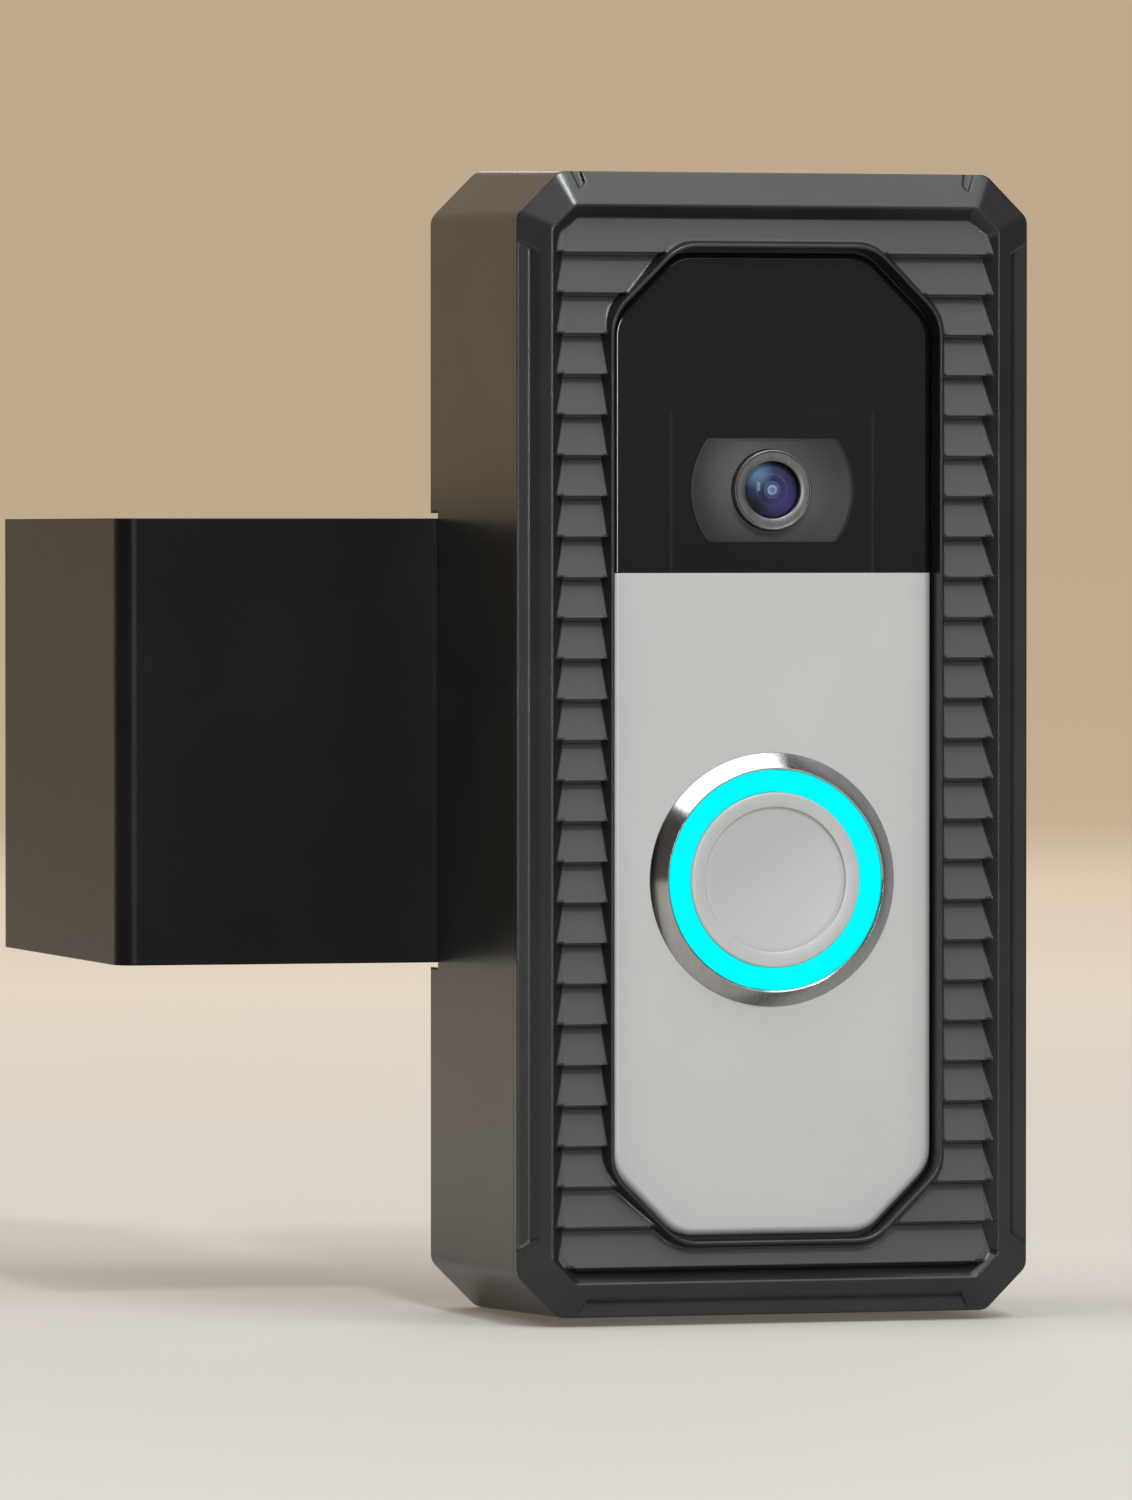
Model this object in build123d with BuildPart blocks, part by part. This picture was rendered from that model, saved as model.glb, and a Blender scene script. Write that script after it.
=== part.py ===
from build123d import *
from math import asin, cos, sin
import os

# A slim video doorbell in a louvred security case, held on a door's edge by a bent steel bracket.
# X points right for somebody facing the doorbell, Y into the door and Z up, all in millimetres.
# The origin is on the door's outer face behind the middle of the case.
# A "distance" is measured from the door's outer face towards the visitor, along -Y.

# Case
CASE_WIDTH = 67.8
CASE_HEIGHT = 145.5
CASE_DEPTH = 37.5
CASE_FLARE = 1.2
CASE_WALL = 2.0
CORNER_CUT = 5.5
CORNER_ROUND = 2.0
RIM = 0.5
LEDGE = 5.0
LEDGE_THICK = 2.0
LEDGE_WIDTH = 4.0

# Front frame, as distances in front of the parting line
BAND = 1.1
CREST = 2.9
LIP = 3.2
CHANNEL = 0.8
FRAME_BACK = -0.5
CREST_INSET = 4.25
RIDGE_INSET = 4.35
CHANNEL_INSET = 6.2
OPENING_WIDTH = 43.2
OPENING_HEIGHT = 126.4
OPENING_CUT = 8.8
OPENING_ROUND = 5.6
LIP_WIDTH = 0.4
LIP_FOOT = 1.2
LOUVRE_PITCH = 5.154
LOUVRE_ROWS = 26
LOUVRE_TOP_EDGE = 62.5
LOUVRE_PROUD = 2.4
LOUVRE_SUNK = 1.0
LOUVRE_SLOT = 0.42
RECESS_INNER = 2.75
RECESS_OUTER = 1.75
RECESS_TOP = 2.3
RECESS_OVERRUN = 1.0
RECESS_SLANT = 0.57
RECESS_SIDE_LENGTH = 128.0
RECESS_END_LENGTH = 52.4
NOTCH_DEPTH = 0.5
NOTCH_OUTLINE = ((25.6, -0.5), (26.9, -0.5), (25.8, 2.3), (25.1, 1.5))
HOOK_X = 20.0
HOOK_DISTANCE = 32.5
HOOK_SIZE = (8.0, 2.0, 2.4)
HOOK_Z = 70.2
HOOK_ARM_SIZE = (8.0, 6.0, 4.0)
HOOK_ARM_Z = 68.4
HOOK_PLAY = 0.8
TAB_X = 22.0
TAB_DISTANCE = 32.8
TAB_LOW = -69.4
TAB_HIGH = -66.2
TAB_SIZE = (8.0, 7.6)
INSERT_RADIUS = 2.0
INSERT_BORE = 1.25
INSERT_LENGTH = 2.5
FRAME_SCREW_HEAD_LOW = -72.7
FRAME_SCREW_HEAD = 1.35
FRAME_SCREW_LENGTH = 4.9

# Bracket and clamp
PAD = 1.5
STEEL = 2.0
BRACKET_HEIGHT = 57.6
BRACKET_LEFT = -77.5
BRACKET_RIGHT = 24.0
BRACKET_BACK = 65.5
BACK_LEG_END = -38.0
BEND = 0.5
CLAMP_X = -55.5
CLAMP_Z = 15.0
DOOR_THICK = 44.0
DOOR_PAD_LEFT = -28.0
PAD_HEIGHT = 54.0
CLAMP_PAD_SIZE = (35.0, PAD_HEIGHT)
EDGE_PAD_SIZE = (40.0, 52.0)
EDGE_PAD_Y = 22.0
PAD_ROUND = 3.0
PRESSURE_SIZE = (34.0, 50.0)
SCREW_RADIUS = 3.0
SCREW_SHOULDER = 48.05
SCREW_TIP = DOOR_THICK + 0.9
SPIGOT_RADIUS = 1.9
CLIP_RADIUS = 3.4
CLIP_THICK = 0.8
NUT_RADIUS = 4.4
NUT_FLANGE_RADIUS = 6.5
NUT_FLANGE = 1.5
COLLAR_RADIUS = 5.5
COLLAR_LENGTH = 1.5
KNOB_START = 78.5
KNOB_LENGTH = 10.0
KNOB_RADIUS = 9.0
KNOB_LOBES = 6

# Doorbell layers, as distances
BASE_PLATE = PAD + STEEL
BASE_THICK = 1.5
MOUNT_PLATE = BASE_PLATE + BASE_THICK
MOUNT_THICK = 2.5
BODY_BACK = 7.8
BODY_FRONT = 32.6
SHELL = 33.0
SHOULDER = 35.5
FACE = 38.1
BOARD = 27.0
BOARD_THICK = 1.2
BOARD_FRONT = BOARD + BOARD_THICK

# Doorbell outline
BODY_WIDTH = 60.0
BODY_HEIGHT = 130.0
BODY_ROUND = 8.0
BODY_WALL = 2.0
FACE_WIDTH = 42.6
FACE_HEIGHT = 125.2
FACE_CUT = 8.6
FACE_ROUND = 5.3
FACE_EDGE = 1.0
SEAM_Z = 21.85
SEAM_GAP = 0.1
MOTION_LOW = 42.5
MOTION_HIGH = 57.9
MOTION_FLOOR = 36.9
MOTION_Z = (MOTION_LOW + MOTION_HIGH) / 2

# Camera
LENS_Z = 32.4
WINDOW_RADIUS = 10.8
WINDOW_HALF_HEIGHT = 6.6
WINDOW_BACK = 36.3
WINDOW_FRONT = 38.2
DISH_FLOOR = 37.4
LENS_RING_RADIUS = 5.2
LENS_RING_BACK = 36.6
LENS_RING_FRONT = 38.7
LENS_RADIUS = 3.5
LENS_BACK = 36.7
LENS_RIM = 37.5
LENS_DOME = 0.7
BARREL_RADIUS = 4.6
BARREL_BORE = 3.1
BARREL_LIP = 2.6
INFRARED_X = 14.8
CAMERA_BOARD_SIZE = (38.0, 45.0)
CAMERA_BOARD_Z = 37.2

# Button
BUTTON_Z = -17.3
BEZEL_RADIUS = 16.25
BEZEL_BORE = 14.1
BEZEL_NECK = 15.15
BEZEL_CREST = 40.0
BEZEL_INNER = 14.3
BEZEL_INNER_STEP = 0.15
RING_RADIUS = 14.0
RING_BORE = 11.32
CAP_RADIUS = 11.25
CAP_TOP = 39.8
CAP_FLANGE = 15.6
CAP_BACK = 31.9
CAP_FLANGE_TOP = 32.95
DISH_RADIUS = 9.25
DISH_STEP = 0.3
DISH_DEPTH = 0.55
SWITCH_SIZE = 6.2
SWITCH_HEIGHT = 2.8
PLUNGER_RADIUS = 1.78
PLUNGER_START = 29.6
RING_LED_PLACE = 12.7
RING_LED_COUNT = 8

# Circuit board, battery and speaker
MAIN_BOARD_SIZE = (42.0, 46.0)
MAIN_BOARD_Z = -11.0
BATTERY_SIZE = (40.0, 70.0)
BATTERY_Z = 2.0
BATTERY_BACK = 10.0
BATTERY_FRONT = 25.5
SPEAKER_Z = -48.0
TERMINAL_X = 6.5
TERMINAL_Z = 48.0

# Fastener places, as X and Z
BRACKET_SCREWS = (24.0, 36.0)
CASING_SCREWS = (40.0, 136.6)
MOUNTING_SCREWS = (42.0, 98.0)
HOUSING_SCREWS = (48.4, 118.4)
MAIN_BOARD_SCREWS = (36.0, 38.0)
CAMERA_BOARD_SCREWS = (32.0, 38.6)
SECURITY_X = 9.0
SECURITY_DISTANCE = 14.0

# Fastener sizes, as radii and lengths
CASING_BOSS = 2.8
CASING_BOSS_LENGTH = 9.0
CASING_PILOT = 1.25
CASING_PILOT_DEPTH = 7.5
CASING_SCREW_HEAD = 2.7
CASING_SCREW_SHANK = 1.2
CASING_SCREW_LENGTH = 8.0
SCREW_HEAD_THICK = 1.5
SOCKET_RADIUS = 1.0
SOCKET_DEPTH = 0.8
COUNTERSINK_RADIUS = 3.0
COUNTERSINK_DEPTH = 1.4
BRACKET_SCREW_LENGTH = 5.5
HOUSING_HEAD_START = 26.2
HOUSING_SHANK_START = 28.0
HOUSING_SCREW_LENGTH = 6.6
POST_RADIUS = 3.4
BOARD_BOSS = 2.4
BOARD_SCREW_HEAD = 1.9
BOARD_SCREW_SHANK = 0.95
BOARD_SCREW_LENGTH = 5.0
TERMINAL_HEAD = 2.8
TERMINAL_SHANK = 1.5
TERMINAL_SLOT = (4.4, 0.7)
RUNNING = 0.05


def front(distance):
    """Sketch plane facing the visitor, at a distance from the door's outer face."""
    return Plane.XZ.offset(distance)


def octagon(width, height, cut, rounding, mode=Mode.ADD):
    """Rectangle with cut and rounded corners."""
    x = width / 2
    y = height / 2
    corners = [
        (x, cut - y),
        (x, y - cut),
        (x - cut, y),
        (cut - x, y),
        (-x, y - cut),
        (-x, cut - y),
        (cut - x, -y),
        (x - cut, -y),
    ]
    with BuildLine() as outline:
        FilletPolyline(*corners, radius=rounding, close=True)
    make_face(outline.edges(), mode=mode)


def case_octagon(inset, mode=Mode.ADD):
    """Case outline at the parting line, moved inwards with its corner cuts kept parallel."""
    cut = CORNER_CUT - inset * (2 - 2**0.5)
    rounding = CORNER_ROUND * cut / CORNER_CUT
    octagon(CASE_WIDTH - 2 * inset, CASE_HEIGHT - 2 * inset, cut, rounding, mode)


def opening_octagon(margin, mode=Mode.ADD):
    """Opening of the frame, moved outwards by a margin."""
    cut = OPENING_CUT + margin * (2 - 2**0.5)
    octagon(OPENING_WIDTH + 2 * margin, OPENING_HEIGHT + 2 * margin, cut, OPENING_ROUND, mode)


def pair(x, y):
    """Two places, mirrored left and right of the middle of the case."""
    return Locations((-x, y), (x, y))


def stacked(x, z):
    """Two places at one X, mirrored above and below the middle of the case."""
    return Locations((x, z), (x, -z))


def cap_middle(radius, height):
    """Middle point of a spherical cap's profile, as radius and height above the cap's rim."""
    sphere = (radius**2 + height**2) / (2 * height)
    half_angle = asin(radius / sphere) / 2
    return sphere * sin(half_angle), height - sphere * (1 - cos(half_angle))


def turned(points, x, z, mode=Mode.ADD):
    """Turn a half profile of radius and distance points about an axis along Y."""
    with BuildSketch(Plane.XY.offset(z)) as profile:
        with BuildLine():
            Polyline(*[(x + radius, -distance) for radius, distance in points], close=True)
        make_face()
    revolve(profile.sketch, axis=Axis((x, 0, z), (0, 1, 0)), mode=mode)


def recess_profile(half, side):
    """Section of a recess across the ridge, as (across, y), where half is half the case's size that way."""
    return [
        (side * (half - RECESS_INNER), -(CASE_DEPTH + RECESS_TOP)),
        (side * (half - RECESS_OUTER), -(CASE_DEPTH + BAND)),
        (side * (half + RECESS_OVERRUN), -(CASE_DEPTH + BAND)),
        (side * (half + RECESS_OVERRUN), -(CASE_DEPTH + RECESS_TOP)),
    ]


def notch_profile(half):
    """Section of a top notch, whose floor runs parallel to the bevel, as (across, y)."""
    slope = (CREST - BAND) / CREST_INSET
    inner = half - RECESS_INNER
    outer = half + RECESS_OVERRUN
    inner_level = CASE_DEPTH + BAND + slope * RECESS_INNER
    outer_level = CASE_DEPTH + BAND - slope * RECESS_OVERRUN
    return [
        (inner, -(inner_level + NOTCH_DEPTH)),
        (inner, -(inner_level - NOTCH_DEPTH)),
        (outer, -(outer_level - NOTCH_DEPTH)),
        (outer, -(inner_level + NOTCH_DEPTH)),
    ]


def recess_outline(half, side, length):
    """Outline of a recess from the front, with slanted ends, as (across, along)."""
    inner = side * (half - RECESS_INNER)
    outer = side * (half + RECESS_OVERRUN)
    short = length / 2 - RECESS_SLANT * RECESS_INNER
    long = length / 2 + RECESS_SLANT * RECESS_OVERRUN
    return [(inner, -short), (inner, short), (outer, long), (outer, -long)]


def swapped(points):
    """The same points with their two coordinates exchanged."""
    return [(second, first) for first, second in points]


def cut_recess(plane, profile, outline):
    """Cut one recess from the part being built: a profile run along the ridge, trimmed to an outline."""
    with BuildPart(mode=Mode.PRIVATE) as cutter:
        with BuildSketch(plane):
            with BuildLine():
                Polyline(*profile, close=True)
            make_face()
        extrude(amount=CASE_HEIGHT / 2, both=True)
        with BuildSketch(front(CASE_DEPTH)):
            with BuildLine():
                Polyline(*outline, close=True)
            make_face()
        extrude(amount=CREST + 1, mode=Mode.INTERSECT)
    add(cutter.part, mode=Mode.SUBTRACT)


def finish(builder, name):
    """Label a finished piece and write its file."""
    builder.part.label = name
    export_step(builder.part, f"parts/{name}.step")


os.makedirs("parts", exist_ok=True)

# --- Case: deep casing behind the front frame -----------------------------------------------

with BuildPart() as casing:
    with BuildSketch(front(RIM)):
        case_octagon(-CASE_FLARE)
    with BuildSketch(front(CASE_DEPTH)):
        case_octagon(0)
    loft(ruled=True)
    with BuildSketch(front(RIM)):
        case_octagon(CASE_WALL - CASE_FLARE)
    with BuildSketch(front(CASE_DEPTH)):
        case_octagon(CASE_WALL)
    loft(ruled=True, mode=Mode.SUBTRACT)
    # ledge that the base plate is screwed against
    with BuildSketch(front(LEDGE)):
        case_octagon(CASE_WALL / 2)
        case_octagon(CASE_WALL / 2 + LEDGE_WIDTH, mode=Mode.SUBTRACT)
    extrude(amount=LEDGE_THICK)
    # bosses for the base plate's screws
    with BuildSketch(front(LEDGE)):
        with GridLocations(*CASING_SCREWS, 2, 2):
            Circle(CASING_BOSS)
    extrude(amount=CASING_BOSS_LENGTH)
    with BuildSketch(front(LEDGE)):
        with GridLocations(*CASING_SCREWS, 2, 2):
            Circle(CASING_PILOT)
    extrude(amount=CASING_PILOT_DEPTH, mode=Mode.SUBTRACT)
    # notch that lets the bracket's front leg out to the left
    with Locations((-CASE_WIDTH / 2, 0, 0)):
        Box(8.0, 2 * (PAD + STEEL + 0.3), BRACKET_HEIGHT + 1.4, mode=Mode.SUBTRACT)
    # pads under the frame's two security screws, and their counterbored holes
    with BuildSketch(Plane.XY.offset(-CASE_HEIGHT / 2 + 0.4)):
        with pair(TAB_X, -TAB_DISTANCE):
            Circle(2.8)
    extrude(amount=2.75)
    with Locations((0, 0, -CASE_HEIGHT / 2 - 0.2)):
        with pair(TAB_X, -TAB_DISTANCE):
            Cylinder(1.35, 12.0, mode=Mode.SUBTRACT)
            Cylinder(2.4, 3.3, mode=Mode.SUBTRACT)
    # pockets for the frame's top hooks
    with Locations((0, 0, HOOK_Z + 0.7)):
        with pair(HOOK_X, -HOOK_DISTANCE):
            Box(HOOK_SIZE[0] + HOOK_PLAY, HOOK_SIZE[1] + HOOK_PLAY, 1.8, mode=Mode.SUBTRACT)
    # slots in the bottom wall under the speaker
    with BuildSketch(Plane.XY.offset(-CASE_HEIGHT / 2 - 3.0)):
        with Locations((0, -22.0)):
            with GridLocations(3.2, 1.0, 7, 1):
                SlotOverall(11.0, 1.4, rotation=90)
    extrude(amount=6.0, mode=Mode.SUBTRACT)
finish(casing, "casing")

with BuildPart() as base_plate:
    with BuildSketch(front(BASE_PLATE)):
        octagon(65.2, 142.6, CORNER_CUT, CORNER_ROUND)
        with GridLocations(*CASING_SCREWS, 2, 2):
            Circle(1.4, mode=Mode.SUBTRACT)
        with GridLocations(*BRACKET_SCREWS, 2, 2):
            Circle(1.6, mode=Mode.SUBTRACT)
        with GridLocations(*MOUNTING_SCREWS, 2, 2):
            Circle(1.25, mode=Mode.SUBTRACT)
        with Locations((0, 62.0), (0, -62.0)):
            SlotOverall(22.0, 5.0, mode=Mode.SUBTRACT)
        with Locations((0, 38.0), (0, -38.0)):
            SlotOverall(26.0, 9.0, mode=Mode.SUBTRACT)
    extrude(amount=BASE_THICK)
finish(base_plate, "base_plate")

with BuildPart() as casing_screws:
    with BuildSketch(front(BASE_PLATE - SCREW_HEAD_THICK)):
        with GridLocations(*CASING_SCREWS, 2, 2):
            Circle(CASING_SCREW_HEAD)
    extrude(amount=SCREW_HEAD_THICK)
    with BuildSketch(front(BASE_PLATE)):
        with GridLocations(*CASING_SCREWS, 2, 2):
            Circle(CASING_SCREW_SHANK)
    extrude(amount=CASING_SCREW_LENGTH)
    with BuildSketch(front(BASE_PLATE - SCREW_HEAD_THICK)):
        with GridLocations(*CASING_SCREWS, 2, 2):
            RegularPolygon(SOCKET_RADIUS, 6)
    extrude(amount=SOCKET_DEPTH, mode=Mode.SUBTRACT)
finish(casing_screws, "casing_screws")

# --- Case: louvred front frame ---------------------------------------------------------------

with BuildPart() as louvres:
    with BuildSketch(Plane.YZ.offset(-CASE_WIDTH / 2)):
        for row in range(LOUVRE_ROWS):
            low = LOUVRE_TOP_EDGE - row * LOUVRE_PITCH
            high = low + LOUVRE_PITCH - LOUVRE_SLOT
            with BuildLine():
                Polyline(
                    (-(CASE_DEPTH + CHANNEL - 0.2), low),
                    (-(CASE_DEPTH + LOUVRE_PROUD), low),
                    (-(CASE_DEPTH + LOUVRE_SUNK), high),
                    (-(CASE_DEPTH + CHANNEL - 0.2), high),
                    close=True,
                )
            make_face()
    extrude(amount=CASE_WIDTH)
    # slanted outer walls of the channel
    with BuildSketch(front(CASE_DEPTH + CHANNEL - 0.2)):
        case_octagon(CHANNEL_INSET)
    with BuildSketch(front(CASE_DEPTH + CREST)):
        case_octagon(RIDGE_INSET)
    loft(ruled=True, mode=Mode.INTERSECT)
    with BuildSketch(front(CASE_DEPTH)):
        opening_octagon(LIP_WIDTH)
    extrude(amount=LIP, mode=Mode.SUBTRACT)

with BuildPart() as front_frame:
    with BuildSketch(front(CASE_DEPTH)):
        case_octagon(0)
    extrude(amount=BAND)
    with BuildSketch(front(CASE_DEPTH + BAND)):
        case_octagon(0)
    with BuildSketch(front(CASE_DEPTH + CREST)):
        case_octagon(CREST_INSET)
    loft(ruled=True)
    # channel that the louvres stand in
    with BuildSketch(front(CASE_DEPTH + CHANNEL)):
        case_octagon(CHANNEL_INSET)
    with BuildSketch(front(CASE_DEPTH + CREST)):
        case_octagon(RIDGE_INSET)
    loft(ruled=True, mode=Mode.SUBTRACT)
    add(louvres.part)
    # raised lip round the opening
    with BuildSketch(front(CASE_DEPTH + CHANNEL - 0.1)):
        opening_octagon(LIP_FOOT)
    with BuildSketch(front(CASE_DEPTH + LIP)):
        opening_octagon(LIP_WIDTH)
    loft(ruled=True)
    # floor behind the louvres and the rib that centres the frame in the casing
    with BuildSketch(front(CASE_DEPTH + FRAME_BACK)):
        case_octagon(CASE_WALL + 0.2)
    extrude(amount=CHANNEL - FRAME_BACK - 0.2)
    with BuildSketch(front(CASE_DEPTH - 1.8)):
        case_octagon(CASE_WALL + 0.2)
        case_octagon(CASE_WALL + 1.4, mode=Mode.SUBTRACT)
    extrude(amount=2.0)
    with BuildSketch(front(CASE_DEPTH - 2.0)):
        opening_octagon(0)
    extrude(amount=2.0 + LIP + 1.0, mode=Mode.SUBTRACT)
    # recesses in the outer half of the bevel: both long sides, then the bottom
    half_width = CASE_WIDTH / 2
    half_height = CASE_HEIGHT / 2
    for side in (-1, 1):
        outline = recess_outline(half_width, side, RECESS_SIDE_LENGTH)
        cut_recess(Plane.XY, recess_profile(half_width, side), outline)
    outline = recess_outline(half_height, -1, RECESS_END_LENGTH)
    cut_recess(Plane.YZ, swapped(recess_profile(half_height, -1)), swapped(outline))
    # small slanted notch near each end of the top bevel
    for side in (-1, 1):
        outline = [(side * x, half_height - inset) for x, inset in NOTCH_OUTLINE]
        cut_recess(Plane.YZ, swapped(notch_profile(half_height)), outline)
    # top hooks
    with pair(HOOK_X, 0):
        with Locations((0, -(CASE_DEPTH + FRAME_BACK - 2.9), HOOK_ARM_Z)):
            Box(*HOOK_ARM_SIZE)
        with Locations((0, -HOOK_DISTANCE, HOOK_Z)):
            Box(*HOOK_SIZE)
    # bottom tabs for the security screws
    with pair(TAB_X, 0):
        with Locations((0, -(TAB_DISTANCE + 0.5), (TAB_LOW + TAB_HIGH) / 2)):
            Box(*TAB_SIZE, TAB_HIGH - TAB_LOW)
        with Locations((0, -TAB_DISTANCE, TAB_LOW)):
            Cylinder(INSERT_RADIUS, 5.6, mode=Mode.SUBTRACT)
            Cylinder(1.4, 12.0, mode=Mode.SUBTRACT)
finish(front_frame, "front_frame")

with BuildPart() as frame_inserts:
    with BuildSketch(Plane.XY.offset(TAB_LOW + 0.2)):
        with pair(TAB_X, -TAB_DISTANCE):
            Circle(INSERT_RADIUS - RUNNING)
            Circle(INSERT_BORE + RUNNING, mode=Mode.SUBTRACT)
    extrude(amount=INSERT_LENGTH)
finish(frame_inserts, "frame_inserts")

with BuildPart() as frame_screws:
    with BuildSketch(Plane.XY.offset(FRAME_SCREW_HEAD_LOW)):
        with pair(TAB_X, -TAB_DISTANCE):
            Circle(2.25)
    extrude(amount=FRAME_SCREW_HEAD)
    with BuildSketch(Plane.XY.offset(-71.4)):
        with pair(TAB_X, -TAB_DISTANCE):
            Circle(INSERT_BORE)
    extrude(amount=FRAME_SCREW_LENGTH)
    with BuildSketch(Plane.XY.offset(FRAME_SCREW_HEAD_LOW)):
        with pair(TAB_X, -TAB_DISTANCE):
            RegularPolygon(SOCKET_RADIUS, 6)
            Circle(0.4, mode=Mode.SUBTRACT)
    extrude(amount=SOCKET_DEPTH, mode=Mode.SUBTRACT)
finish(frame_screws, "frame_screws")

with BuildPart() as window_gasket:
    with BuildSketch(front(SHOULDER)):
        opening_octagon(2.6)
        opening_octagon(0.3, mode=Mode.SUBTRACT)
    extrude(amount=CASE_DEPTH + FRAME_BACK - SHOULDER)
finish(window_gasket, "window_gasket")

# --- Bracket and clamp -----------------------------------------------------------------------

with BuildPart() as door_bracket:
    with BuildSketch(Plane.XY.offset(-BRACKET_HEIGHT / 2)):
        with BuildLine():
            FilletPolyline(
                (BRACKET_RIGHT, -PAD),
                (BRACKET_LEFT + STEEL, -PAD),
                (BRACKET_LEFT + STEEL, BRACKET_BACK - STEEL),
                (BACK_LEG_END, BRACKET_BACK - STEEL),
                radius=BEND,
            )
            offset(amount=STEEL, side=Side.LEFT)
        make_face()
    extrude(amount=BRACKET_HEIGHT)
    with BuildSketch(front(PAD)):
        with GridLocations(*BRACKET_SCREWS, 2, 2):
            Circle(1.6)
    extrude(amount=STEEL, mode=Mode.SUBTRACT)
    with BuildSketch(front(PAD)):
        with GridLocations(*BRACKET_SCREWS, 2, 2):
            Circle(COUNTERSINK_RADIUS)
    extrude(amount=COUNTERSINK_DEPTH, taper=45, mode=Mode.SUBTRACT)
    with BuildSketch(front(-BRACKET_BACK)):
        with stacked(CLAMP_X, CLAMP_Z):
            Circle(NUT_RADIUS + RUNNING)
    extrude(amount=STEEL, mode=Mode.SUBTRACT)
finish(door_bracket, "door_bracket")

with BuildPart() as bracket_screws:
    with BuildSketch(front(PAD)):
        with GridLocations(*BRACKET_SCREWS, 2, 2):
            Circle(COUNTERSINK_RADIUS - 2 * RUNNING)
    extrude(amount=COUNTERSINK_DEPTH, taper=45)
    with BuildSketch(front(PAD)):
        with GridLocations(*BRACKET_SCREWS, 2, 2):
            Circle(1.45)
    extrude(amount=BRACKET_SCREW_LENGTH)
finish(bracket_screws, "bracket_screws")

with BuildPart() as clinch_nuts:
    with BuildSketch(front(MOUNT_PLATE)):
        with GridLocations(*BRACKET_SCREWS, 2, 2):
            Circle(3.0)
            Circle(1.5, mode=Mode.SUBTRACT)
    extrude(amount=2.0)
finish(clinch_nuts, "clinch_nuts")

with BuildPart() as door_pad:
    with BuildSketch(front(0)):
        with Locations(((BRACKET_RIGHT + DOOR_PAD_LEFT) / 2, 0)):
            RectangleRounded(BRACKET_RIGHT - DOOR_PAD_LEFT, PAD_HEIGHT, PAD_ROUND)
    extrude(amount=PAD)
finish(door_pad, "door_pad")

with BuildPart() as clamp_pad:
    with BuildSketch(front(0)):
        with Locations((CLAMP_X, 0)):
            RectangleRounded(*CLAMP_PAD_SIZE, PAD_ROUND)
    extrude(amount=PAD)
finish(clamp_pad, "clamp_pad")

with BuildPart() as edge_pad:
    with BuildSketch(Plane.YZ.offset(BRACKET_LEFT + STEEL)):
        with Locations((EDGE_PAD_Y, 0)):
            RectangleRounded(*EDGE_PAD_SIZE, PAD_ROUND)
    extrude(amount=PAD)
finish(edge_pad, "edge_pad")

with BuildPart() as clamp_nuts:
    inner_leg = BRACKET_BACK - STEEL
    for z in (-CLAMP_Z, CLAMP_Z):
        turned(
            [
                (SCREW_RADIUS + RUNNING, -(inner_leg - NUT_FLANGE)),
                (NUT_FLANGE_RADIUS, -(inner_leg - NUT_FLANGE)),
                (NUT_FLANGE_RADIUS, -inner_leg),
                (NUT_RADIUS, -inner_leg),
                (NUT_RADIUS, -(BRACKET_BACK + NUT_FLANGE)),
                (SCREW_RADIUS + RUNNING, -(BRACKET_BACK + NUT_FLANGE)),
            ],
            CLAMP_X,
            z,
        )
finish(clamp_nuts, "clamp_nuts")

CLAMP_SIDES = {"upper": CLAMP_Z, "lower": -CLAMP_Z}
for side, z in CLAMP_SIDES.items():
    with BuildPart() as clamp_screw:
        turned(
            [
                (0, -SCREW_TIP),
                (SPIGOT_RADIUS, -SCREW_TIP),
                (SPIGOT_RADIUS, -SCREW_SHOULDER),
                (SCREW_RADIUS, -SCREW_SHOULDER),
                (SCREW_RADIUS, -(KNOB_START - COLLAR_LENGTH)),
                (COLLAR_RADIUS, -(KNOB_START - COLLAR_LENGTH)),
                (COLLAR_RADIUS, -KNOB_START),
                (0, -KNOB_START),
            ],
            CLAMP_X,
            z,
        )
        with BuildSketch(front(-(KNOB_START + KNOB_LENGTH))) as knob:
            with Locations((CLAMP_X, z)):
                Circle(KNOB_RADIUS)
                with PolarLocations(KNOB_RADIUS + 1.2, KNOB_LOBES):
                    Circle(2.6, mode=Mode.SUBTRACT)
            fillet(knob.vertices(), 0.6)
        extrude(amount=KNOB_LENGTH)
        chamfer(clamp_screw.faces().sort_by(Axis.Y)[-1].edges(), 0.6)
    finish(clamp_screw, f"clamp_screw_{side}")

    with BuildPart() as screw_clip:
        with BuildSketch(front(-(DOOR_THICK + 1.9))):
            with Locations((CLAMP_X, z)):
                Circle(CLIP_RADIUS)
                Circle(SPIGOT_RADIUS + RUNNING, mode=Mode.SUBTRACT)
        extrude(amount=CLIP_THICK)
    finish(screw_clip, f"screw_clip_{side}")

with BuildPart() as pressure_plate:
    with BuildSketch(front(-(DOOR_THICK + 4.0))):
        with Locations((CLAMP_X, 0)):
            RectangleRounded(*PRESSURE_SIZE, PAD_ROUND)
        with stacked(CLAMP_X, CLAMP_Z):
            Circle(2.0, mode=Mode.SUBTRACT)
    extrude(amount=2.0)
finish(pressure_plate, "pressure_plate")

with BuildPart() as pressure_pad:
    with BuildSketch(front(-(DOOR_THICK + 2.0))):
        with Locations((CLAMP_X, 0)):
            RectangleRounded(*PRESSURE_SIZE, PAD_ROUND)
        with stacked(CLAMP_X, CLAMP_Z):
            Circle(4.2, mode=Mode.SUBTRACT)
    extrude(amount=2.0)
finish(pressure_pad, "pressure_pad")

# --- Doorbell: mounting plate and housing ----------------------------------------------------

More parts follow.
